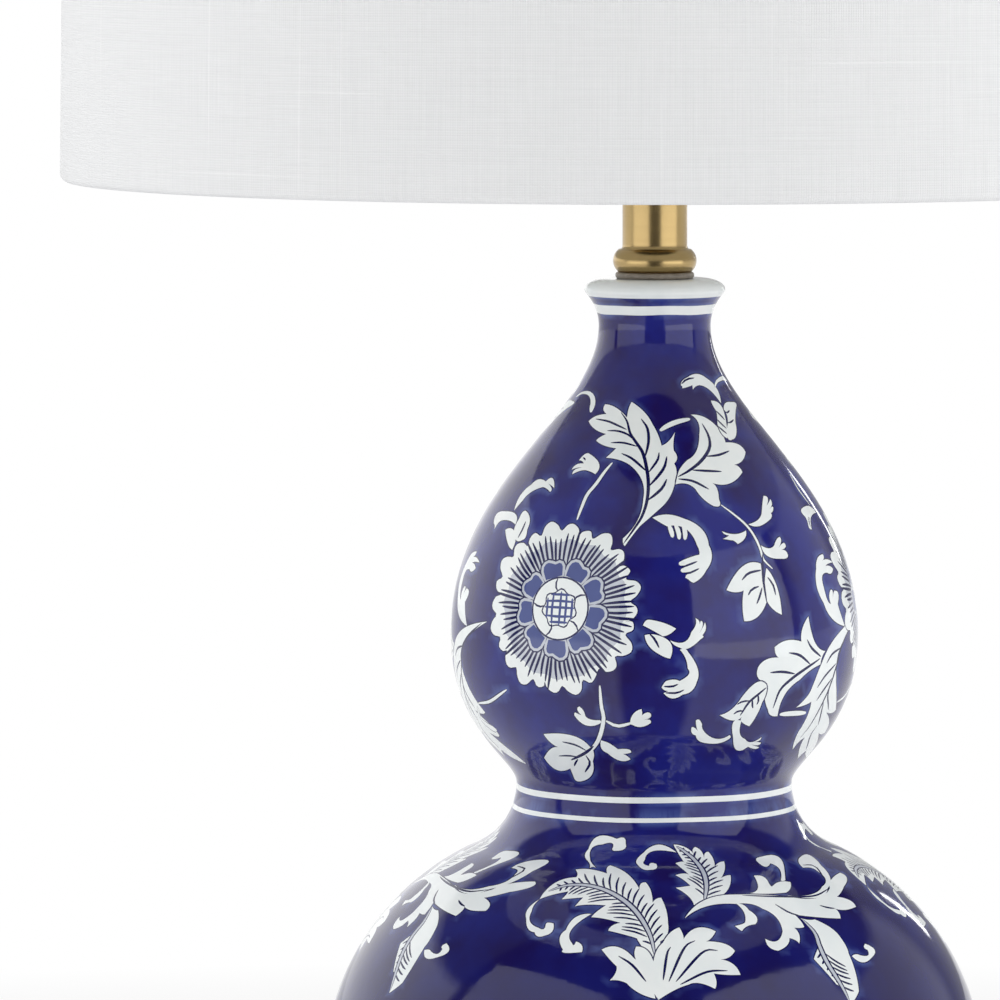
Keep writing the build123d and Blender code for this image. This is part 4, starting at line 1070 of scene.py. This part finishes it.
# Chart bent round into the body, with the places that fall together made one
WELD_NEAR = 1e-3
turns, lengths = chart.T
radii, levels = radius_at(lengths), np.interp(lengths, profile_length, profile[:, 1])
skin_places = np.stack([radii * np.sin(turns), -radii * np.cos(turns), levels], 1)
rounded = np.round(skin_places / WELD_NEAR).astype(int)
_, first_found, welded = np.unique(rounded, axis=0, return_index=True, return_inverse=True)
welded = welded.ravel()
faces = welded[triangles]
whole = (faces[:, 0] != faces[:, 1]) & (faces[:, 1] != faces[:, 2]) & (faces[:, 2] != faces[:, 0])
faces, triangles, centres, paint_of = faces[whole], triangles[whole], centres[whole], paint_of[whole]

# Smooth shading within each run of the profile, and an edge between runs
normals = np.zeros((len(faces), 3, 3))
for run_length, run_normal in zip(run_lengths, run_normals):
    on_run = (centres[:, 1] >= run_length[0]) & (centres[:, 1] <= run_length[-1])
    at = chart[triangles[on_run]]
    outward, upward = (np.interp(at[..., 1], run_length, run_normal[:, k]) for k in (0, 1))
    normals[on_run] = np.stack([outward * np.sin(at[..., 0]), -outward * np.cos(at[..., 0]), upward], 2)

# Wall of the cord's hole, between its edges on the foot ring's two faces
rim = len(hole_turn)
rim_made = [welded[np.argmin(np.hypot(*(chart - place).T))] for place in (*outer_hole, *inner_hole)]
bridge = []
bridge_normals = []
for index in range(rim):
    ring = index, (index + 1) % rim
    a, b = (rim_made[k] for k in ring)
    c, d = (rim_made[rim + k] for k in ring)
    for triangle, angles in (((a, b, d), (0, 1, 1)), ((a, d, c), (0, 1, 0))):
        bridge.append(triangle)
        bridge_normals.append([(-cos(hole_turn[ring[k]]), 0, -sin(hole_turn[ring[k]])) for k in angles])

skin = mesh_object(
    "gourd_skin", skin_places[first_found] * MM, [*faces, *bridge], "base", (glaze, raw_clay)
)
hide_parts("gourd_lower", "gourd_upper")
on_outside = (centres[:, 1] > painted_start) & (centres[:, 1] < painted_end)
skin.data.polygons.foreach_set("material_index", [*np.where(on_outside, 0, 1), *[1] * len(bridge)])

# Paint of every corner, with its distance from the nearest white edge as a share of the halo's reach
HALO_REACH = 2.8
HOLE_PAINT = 1, 0, 0, 1
white_points = np.vstack([edge for (paint, _), edge in zip(shapes, outlines) if paint == WHITE])
tree_of_whites = kdtree.KDTree(len(white_points))
for index, (turn, length) in enumerate(white_points):
    radius, level = radius_at(length), np.interp(length, profile_length, profile[:, 1])
    tree_of_whites.insert((radius * sin(turn), -radius * cos(turn), level), index)
tree_of_whites.balance()
from_white = np.array([min(1, tree_of_whites.find(place)[2] / HALO_REACH) for place in skin_places])
paint_values = np.zeros((len(faces), 3, 4))
for code, shares in PAINTS.items():
    paint_values[paint_of == code, :, :3] = shares
paint_values[..., 3] = from_white[triangles]
bridge_paint = np.tile(HOLE_PAINT, (len(bridge), 3, 1))
layer = skin.data.color_attributes.new(name="paint", type="FLOAT_COLOR", domain="CORNER")
corner_values(layer, "color", np.concatenate([paint_values, bridge_paint]))

# Places in the baked picture: most of its height is for the outside, because the rest hardly shows
OUTSIDE_LOW, OUTSIDE_SHARE = 0.06, 0.93
UNDER_SHARE, UNDER_NEAR = 0.015, 1e-6
INSIDE_LOW, INSIDE_SHARE = 0.02, 0.03
HOLE_PLACE, HOLE_SIZE = (0.5, 0.055), 0.002
at = chart[triangles]
across, along = (at[..., 0] - SEAM) / tau, at[..., 1]
under_up = UNDER_SHARE * along / painted_start
outer_up = OUTSIDE_LOW + OUTSIDE_SHARE * (along - painted_start) / (painted_end - painted_start)
inner_up = INSIDE_LOW + INSIDE_SHARE * np.clip((along - painted_end) / (travelled - painted_end), 0, 1)
rest_up = np.where(along < painted_start + UNDER_NEAR, under_up, inner_up)
up = np.where(on_outside[:, None], outer_up, rest_up)
bridge_uv = np.tile(HOLE_PLACE, (len(bridge), 3, 1)) + np.array([(0, 0), (HOLE_SIZE, 0), (0, HOLE_SIZE)])
skin_uv = np.concatenate([np.stack([across, up], 2), bridge_uv])
corner_values(skin.data.uv_layers.new(name="OFBake"), "uv", skin_uv)
skin.data.normals_split_custom_set(np.concatenate([normals, bridge_normals]).reshape(-1, 3).tolist())

# Linen of the shade: rolled round both hoops, tucked in behind, lapped at the rear
shade_low, shade_high = (corner[2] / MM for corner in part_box("shade_cover"))
shade_bottom_radius, shade_top_radius = 203.2, 200
linen_thickness, hem_inner, hem_return = 0.7, 1.925, 9
liner_thickness, tuck_gap = 0.5, 0.15
hem_outer = hem_inner + linen_thickness
# A hem's return leans back until it lies on the liner: shares of its length and lean, from the free edge
tuck_lean = 2 * hem_inner - liner_thickness - tuck_gap
TUCK = ((1, 1), (0.7, 0.95), (0.45, 0.5), (0.2, 0.02))
# Slits for the spider's arms and the lap, in degrees, apart from the lap's rise
ARM_TURNS = (0, 120, 240)
SLIT_HALF, SLIT_SWEEP = 0.75, 70
SLIT_CLEAR, SLIT_EDGE = 0.1, 0.05
LAP, LAP_START = 3.6, 1
LAP_RISE = 0.75
LINEN_STEP = 1.8
top_hem = Vector((shade_top_radius - hem_outer, shade_high - hem_outer))
bottom_hem = Vector((shade_bottom_radius - hem_outer, shade_low + hem_outer))
wall_up = (top_hem - bottom_hem).normalized()
wall_out = Vector((wall_up.y, -wall_up.x))
ROLL_STEPS, WALL_STEPS = 10, 16


def linen_side(reach, slit):
    """Path of one face of the linen at a distance from the hems' middles, from lower tuck to upper."""
    path = []
    for share, lean in TUCK:
        path.append(bottom_hem - wall_out * (reach - tuck_lean * lean) + wall_up * hem_return * share)
    for index in range(ROLL_STEPS + 1):
        angle = pi * (1 - index / ROLL_STEPS)
        path.append(bottom_hem + reach * (wall_out * cos(angle) - wall_up * sin(angle)))
    for index in range(1, WALL_STEPS):
        path.append(bottom_hem.lerp(top_hem, index / WALL_STEPS) + wall_out * reach)
    steps, sweep = (ROLL_STEPS + len(TUCK), radians(SLIT_SWEEP)) if slit else (ROLL_STEPS, pi)
    for index in range(steps + 1):
        angle = sweep * index / steps
        path.append(top_hem + reach * (wall_out * cos(angle) + wall_up * sin(angle)))
    if not slit:
        for share, lean in TUCK[::-1]:
            path.append(top_hem - wall_out * (reach - tuck_lean * lean) - wall_up * hem_return * share)
    return path


linen_turns = []
start_turn = 180 - LAP / 2
for turn in np.arange(0, 360 + LAP + LINEN_STEP / 2, LINEN_STEP):
    linen_turns.append((start_turn + turn, False))
for arm in ARM_TURNS:
    base = arm if arm > start_turn else arm + 360
    linen_turns = [entry for entry in linen_turns if abs(entry[0] - base) > SLIT_HALF + SLIT_CLEAR]
    slit_end = 2 * SLIT_HALF
    for offset, slit in ((-SLIT_EDGE, False), (0, True), (slit_end, True), (slit_end + SLIT_EDGE, False)):
        linen_turns.append((base - SLIT_HALF + offset, slit))
linen_turns.sort()
linen_places = []
linen_rows = []
for turn, slit in linen_turns:
    lift = LAP_RISE * min(1, max(0, (turn - start_turn - 360 + LAP_START) / LAP_START))
    outer_path = linen_side(hem_outer + lift, slit)
    ring = outer_path + linen_side(hem_inner + lift, slit)[::-1]
    linen_rows.append(ring)
    angle = radians(turn)
    linen_places += [(p.x * sin(angle), -p.x * cos(angle), p.y) for p in ring]
ring_count = len(linen_rows[0])
face_count = ring_count // 2
linen_faces = []
linen_uv = []
linen_weave = []
path_length = [0]
for a, b in zip(linen_rows[0][:face_count], linen_rows[0][1:face_count]):
    path_length.append(path_length[-1] + (b - a).length)
path_length += path_length[::-1]
# Places in the baked picture: panels one above the other, each with the outer and the inner face
PANELS = 4
MARGIN, OUTER_SHARE, INNER_START, INNER_SHARE = 0.01, 0.72, 0.76, 0.2
END_PLACES = (0.002, 0.995), (0.004, 0.995), (0.004, 0.998), (0.002, 0.998)
span = 360 + LAP
mean_radius = (shade_bottom_radius + shade_top_radius) / 2
for column in range(len(linen_turns) - 1):
    panel = min(PANELS - 1, int((linen_turns[column][0] - start_turn) / span * PANELS))
    for row in range(ring_count):
        following = (row + 1) % ring_count
        cells = ((column, row), (column + 1, row), (column + 1, following), (column, following))
        linen_faces.append([c * ring_count + r for c, r in cells])
        inner_face = row >= face_count
        for c, r in cells:
            share = (linen_turns[c][0] - start_turn) / span * PANELS - panel
            height = path_length[r] / path_length[face_count - 1]
            strip = INNER_START + INNER_SHARE * height if inner_face else OUTER_SHARE * height
            linen_uv.append((MARGIN + (1 - 2 * MARGIN) * share, (panel + MARGIN + strip) / PANELS))
            linen_weave.append((radians(linen_turns[c][0]) * mean_radius * MM, path_length[r] * MM))
for column in (0, len(linen_turns) - 1):
    base = column * ring_count
    for row in range(face_count - 1):
        cells = (base + row, base + row + 1, base + ring_count - 2 - row, base + ring_count - 1 - row)
        linen_faces.append(cells if column == 0 else cells[::-1])
        linen_uv += END_PLACES
        linen_weave += [(0, 0), (MM, 0), (MM, MM), (0, MM)]

# Weave: scales per metre along and across the threads of their unevenness and their slubs, and shares of each
THREAD_PITCH, THREAD_SWAY = 0.00082, 4.0
UNEVEN, SLUBS = (30, 1630), (5, 805)
UNEVEN_DETAIL, SLUB_DETAIL = 2, 1
SLUB_RANGE, CLOTH_RANGE = (0.71, 0.75), (0.0, 1.5)
UNEVEN_SHARE, THREAD_SHARE, SLUB_SHARE = 0.6, 0.16, 0.55
LINEN_WHITE = colour(231, 232, 233), colour(251, 251, 252)
LINEN_ROUGHNESS, LINEN_RELIEF = (0.95, 0.8), (0.35, 0.0004)


def lengthwise(axis, along, across):
    """Scales of a pattern drawn out along the threads that lie side by side on an axis."""
    return (along, across, 1) if axis == "Y" else (across, along, 1)


linen, tree, shader, where = finish("linen_weave", Sheen_Weight=0.15, Specular_IOR_Level=0.2)
threads = add(tree, "UVMap", uv_map="weave").outputs["UV"]
cloth = 0.0
directions = add(tree, "SeparateXYZ", {"Vector": threads}).outputs
for axis in ("Y", "X"):
    uneven = noise(tree, threads, 1, UNEVEN_DETAIL, lengthwise(axis, *UNEVEN))
    slub = ramp(tree, noise(tree, threads, 1, SLUB_DETAIL, lengthwise(axis, *SLUBS)), *SLUB_RANGE)
    count = reckon(tree, "MULTIPLY", directions[axis], tau / THREAD_PITCH)
    count = reckon(tree, "MULTIPLY_ADD", uneven, THREAD_SWAY, count)
    thread = reckon(tree, "SINE", count)
    for value, share in ((uneven, UNEVEN_SHARE), (thread, THREAD_SHARE), (slub, SLUB_SHARE)):
        cloth = reckon(tree, "MULTIPLY_ADD", value, share, cloth)
tint = blend(tree, ramp(tree, cloth, *CLOTH_RANGE), *LINEN_WHITE)
coated(tree, shader, tint, ramp(tree, cloth, *CLOTH_RANGE, *LINEN_ROUGHNESS))
raised(tree, shader, cloth, *LINEN_RELIEF)
linen_piece = mesh_object("shade_linen", np.array(linen_places) * MM, linen_faces, "shade", (linen,))
corner_values(linen_piece.data.uv_layers.new(name="OFBake"), "uv", linen_uv)
corner_values(linen_piece.data.uv_layers.new(name="weave"), "uv", linen_weave)
linen_piece.data.shade_smooth()
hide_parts("shade_cover")

# Felt under the foot, cut a little unevenly
felt_low, felt_high = (Vector(corner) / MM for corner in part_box("felt_pad"))
felt_radius = felt_high.x
FELT_SPOKES, FELT_RINGS = 96, 14
FELT_TRIM, FELT_ROUNDING = 0.35, 0.35
FELT_GREEN = colour(34, 40, 34), colour(74, 82, 72)
FELT_FIBRES, FELT_ROUGHNESS, FELT_RELIEF = (1400, 8), (0.9, 1), (0.6, 0.0006)
felt_places = []
felt_faces = []
trim = [FELT_TRIM * hand.random() for _ in range(FELT_SPOKES)]
for low_side in (True, False):
    felt_places.append((0, 0, felt_low.z if low_side else felt_high.z))
    for ring in range(1, FELT_RINGS + 1):
        for spoke in range(FELT_SPOKES):
            angle = tau * spoke / FELT_SPOKES
            radius = (felt_radius - trim[spoke]) * ring / FELT_RINGS
            rounding = FELT_ROUNDING if ring == FELT_RINGS else 0
            level = felt_low.z + rounding if low_side else felt_high.z - rounding
            felt_places.append((radius * cos(angle), radius * sin(angle), level))
side_count = 1 + FELT_RINGS * FELT_SPOKES
for base, flipped in ((0, True), (side_count, False)):
    for spoke in range(FELT_SPOKES):
        following = (spoke + 1) % FELT_SPOKES
        face = [base, base + 1 + spoke, base + 1 + following]
        felt_faces.append(face[::-1] if flipped else face)
        for ring in range(FELT_RINGS - 1):
            low, high = base + 1 + ring * FELT_SPOKES, base + 1 + (ring + 1) * FELT_SPOKES
            face = [low + spoke, high + spoke, high + following, low + following]
            felt_faces.append(face[::-1] if flipped else face)
edge_base = 1 + (FELT_RINGS - 1) * FELT_SPOKES
for spoke in range(FELT_SPOKES):
    following = (spoke + 1) % FELT_SPOKES
    low, high = edge_base, side_count + edge_base
    felt_faces.append((low + spoke, low + following, high + following, high + spoke))
felt, tree, shader, where = finish("felt_nap", Sheen_Weight=0.4)
fibres = noise(tree, where, *FELT_FIBRES)
coated(tree, shader, blend(tree, fibres, *FELT_GREEN), ramp(tree, fibres, *NOISE_RANGE, *FELT_ROUGHNESS))
raised(tree, shader, fibres, *FELT_RELIEF)
felt_piece = mesh_object("felt_disc", np.array(felt_places) * MM, felt_faces, "base", (felt,))
felt_piece.data.shade_smooth()
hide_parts("felt_pad")

# Finishes of the solids that show as built
TONE_RANGE = 0.6, 1.4
TURNED_ACROSS, TURNED_DETAIL = 30, 3
METAL_PATCHES, METAL_RELIEF = (60, 5), (0.02, 0.0002)
GRAIN_DETAIL, GRAIN_DEPTH = 6, 0.0003


def metal(name, dull, bright, low, high, lines):
    """Satin metal with fine turned lines round its axis, faint patches and a changing gloss."""
    material, tree, shader, where = finish(name, Metallic=1.0)
    turned = noise(tree, where, 1, TURNED_DETAIL, (TURNED_ACROSS, TURNED_ACROSS, lines))
    tone = reckon(tree, "ADD", turned, noise(tree, where, *METAL_PATCHES))
    coat = blend(tree, ramp(tree, tone, *TONE_RANGE), colour(*dull), colour(*bright))
    coated(tree, shader, coat, ramp(tree, tone, *TONE_RANGE, high, low))
    raised(tree, shader, turned, *METAL_RELIEF)
    return material


def plain(name, dark, light, low, high, scale, relief):
    """Moulded, coated or fibrous surface: two close colours, a changing gloss and a fine relief."""
    material, tree, shader, where = finish(name)
    grain = noise(tree, where, scale, GRAIN_DETAIL)
    coat = blend(tree, ramp(tree, grain, *NOISE_RANGE), colour(*dark), colour(*light))
    coated(tree, shader, coat, ramp(tree, grain, *NOISE_RANGE, low, high))
    raised(tree, shader, grain, relief, GRAIN_DEPTH)
    return material


finishes = {
    "grommet": plain("grommet_rubber", (22, 22, 23), (38, 38, 39), 0.55, 0.7, 700, 0.2),
    "board": plain("pressed_board", (128, 104, 76), (172, 146, 112), 0.8, 0.95, 500, 0.4),
    "steel": metal("zinced_steel", (176, 176, 178), (206, 206, 206), 0.25, 0.4, 2500),
    "neck_grey": plain("grey_washer", (124, 115, 104), (148, 138, 126), 0.35, 0.5, 500, 0.15),
    "brass": metal("satin_brass", (170, 146, 100), (182, 158, 110), 0.22, 0.28, 4000),
    "paper": plain("fibre_paper", (112, 88, 62), (146, 118, 86), 0.85, 0.95, 600, 0.3),
    "moulding": plain("phenolic", (30, 27, 24), (46, 41, 37), 0.4, 0.55, 400, 0.1),
    "aluminium": metal("spun_aluminium", (204, 205, 207), (228, 228, 229), 0.25, 0.35, 3000),
    "bulb_white": plain("bulb_housing_white", (232, 231, 226), (242, 242, 238), 0.3, 0.42, 300, 0.05),
    "bulb_frost": plain("bulb_frosted", (238, 236, 228), (247, 246, 240), 0.4, 0.55, 900, 0.08),
    "shade_backing": plain("shade_backing_sheet", (236, 236, 233), (245, 245, 243), 0.45, 0.6, 200, 0.06),
}
for subpart in frame["record"]["subparts"]:
    node = frame["nodes"][subpart["node"]]
    if subpart["material_slot"] in finishes:
        for slot in node.material_slots:
            slot.material = finishes[subpart["material_slot"]]

# Dim sector on the camera's side, and the brightness in it and beside it
GAP_INNER, GAP_OUTER = radians(17), radians(22)
GAP_LEVEL, MIRROR_LEVEL = 0.1, 1.0


def heading(tree, where):
    """Angle round the lamp from the camera's side, positive to the right."""
    across = add(tree, "SeparateXYZ", {"Vector": where}).outputs
    ahead = reckon(tree, "MULTIPLY", across["Y"], -1.0)
    return reckon(tree, "ARCTAN2", across["X"], ahead)


def front_gap(tree, where):
    """Brightness that mirrors show: dim in a narrow sector on the camera's side, between the two lights."""
    turn = reckon(tree, "ABSOLUTE", heading(tree, where))
    return ramp(tree, turn, GAP_INNER, GAP_OUTER, GAP_LEVEL, MIRROR_LEVEL)


def in_sight(tree, path):
    """1 for the camera's own rays, straight on or through something clear, and 0 for all others."""
    return reckon(tree, "MAXIMUM", path["Is Camera Ray"], path["Is Transmission Ray"])


# Floor: pale round the lamp, where it takes the shadow, and white background further out
FLOOR_RADIUS, FLOOR_SEGMENTS = 14, 128
PALE_REACH, WHITE_REACH = 0.35, 1.0
FLOOR_CLOUDS, FLOOR_GREY = 3, (colour(240, 240, 240), colour(246, 246, 246))
WHITE_LIGHT = (1, 1, 1, 1)
floor_mesh = bpy.data.meshes.new("floor")
floor_turns = [tau * index / FLOOR_SEGMENTS for index in range(FLOOR_SEGMENTS)]
floor_ring = [(FLOOR_RADIUS * cos(turn), FLOOR_RADIUS * sin(turn), 0) for turn in floor_turns]
floor_mesh.from_pydata(floor_ring, [], [range(FLOOR_SEGMENTS)])
floor = bpy.data.objects.new("floor", floor_mesh)
scene.collection.objects.link(floor)
floor_finish, tree, shader, where = finish("floor_pale", Specular_IOR_Level=0.1, Roughness=0.8)
tree.links.new(blend(tree, noise(tree, where, FLOOR_CLOUDS), *FLOOR_GREY), shader.inputs["Base Color"])
path = add(tree, "LightPath").outputs
away = add(tree, "VectorMath", {0: where}, operation="LENGTH").outputs["Value"]
shows = in_sight(tree, path)
far = reckon(tree, "MULTIPLY", ramp(tree, away, PALE_REACH, WHITE_REACH), shows)
far = reckon(tree, "MAXIMUM", far, path["Is Glossy Ray"])
mirrored = reckon(tree, "MAXIMUM", front_gap(tree, where), shows)
glow = add(tree, "Emission", {"Color": WHITE_LIGHT, "Strength": mirrored})
mixed = add(tree, "MixShader", {0: far, 1: shader.outputs["BSDF"], 2: glow.outputs["Emission"]})
tree.links.new(mixed.outputs["Shader"], tree.nodes["Material Output"].inputs["Surface"])
floor_mesh.materials.append(floor_finish)

# World: white backdrop, soft light that is weakest from the camera's side, and surroundings that mirrors
# show, given as turns from the camera's side, positive to the right, each with its brightness
SURROUNDINGS = (
    (-180, 1.2), (-130, 1.5), (-91, 1.3), (-88, 0.08), (86, 0.08), (96, 0.75), (136, 0.75), (144, 0.3),
    (180, 0.5),
)
WALL_TOP, WALL_FADE, ABOVE = 0.56, 0.03, 0.1
SOFT_FRONT, SOFT_SIDE, SOFT_REAR = 0.04, 1.15, 0.75
FRONT_END, SIDE_START, SIDE_END, REAR_START = (radians(turn) for turn in (55, 85, 115, 155))
world = bpy.data.worlds.new("studio")
scene.world = world
world.use_nodes = True
tree = world.node_tree
path = add(tree, "LightPath").outputs
direction = add(tree, "TexCoord").outputs["Generated"]
turn = heading(tree, direction)
walls = add(tree, "ValToRGB", {"Fac": ramp(tree, turn, -pi, pi)})
for index, (azimuth, brightness) in enumerate(SURROUNDINGS):
    place = azimuth / 360 + 0.5
    stops = walls.color_ramp.elements
    stop = stops[0] if index == 0 else stops[-1] if place == 1 else stops.new(place)
    stop.color = (brightness, brightness, brightness, 1)
rise = add(tree, "SeparateXYZ", {"Vector": direction}).outputs["Z"]
height = ramp(tree, rise, WALL_TOP - WALL_FADE, WALL_TOP + WALL_FADE, 1, ABOVE)
side = reckon(tree, "ABSOLUTE", turn)
towards_side = ramp(tree, side, FRONT_END, SIDE_START, SOFT_FRONT, SOFT_SIDE)
towards_rear = ramp(tree, side, SIDE_END, REAR_START, 1, SOFT_REAR / SOFT_SIDE)
soft = tree.nodes["Background"]
soft.inputs["Color"].default_value = WHITE_LIGHT
tree.links.new(reckon(tree, "MULTIPLY", towards_side, towards_rear), soft.inputs["Strength"])
shown = reckon(tree, "MULTIPLY", walls.outputs["Color"], height)
mirrored = add(tree, "Background", {"Color": WHITE_LIGHT, "Strength": shown})
backdrop = add(tree, "Background", {"Color": WHITE_LIGHT, "Strength": 1.0})
lit = soft.outputs["Background"]
for ray, light in ((path["Is Glossy Ray"], mirrored), (in_sight(tree, path), backdrop)):
    lit = add(tree, "MixShader", {0: ray, 1: lit, 2: light.outputs["Background"]}).outputs["Shader"]
tree.links.new(lit, tree.nodes["World Output"].inputs["Surface"])


def softbox(name, azimuth, distance, level, width, height, radiance):
    """A soft light that faces the lamp, at an azimuth from the camera's side, positive to the right."""
    data = bpy.data.lights.new(name, "AREA")
    data.shape = "RECTANGLE"
    data.size, data.size_y = width, height
    data.energy = radiance * pi * width * height
    light = bpy.data.objects.new(name, data)
    light.location = (distance * sin(radians(azimuth)), -distance * cos(radians(azimuth)), level)
    aim = Vector((0, 0, level)) - light.location
    light.rotation_euler = aim.to_track_quat("-Z", "Y").to_euler()
    light.visible_camera = False
    scene.collection.objects.link(light)


# Azimuth, distance, level, width, height and radiance of each light
LIGHTS = {
    "left_box": (-51, 1.7, 1.1, 2.04, 2.2, 1.15),
    "right_box": (53, 1.7, 1.1, 2.04, 2.2, 1.36),
    "strip": (152, 1.4, 0.51, 0.045, 0.3, 7.0),
}
for name, setting in LIGHTS.items():
    softbox(name, *setting)
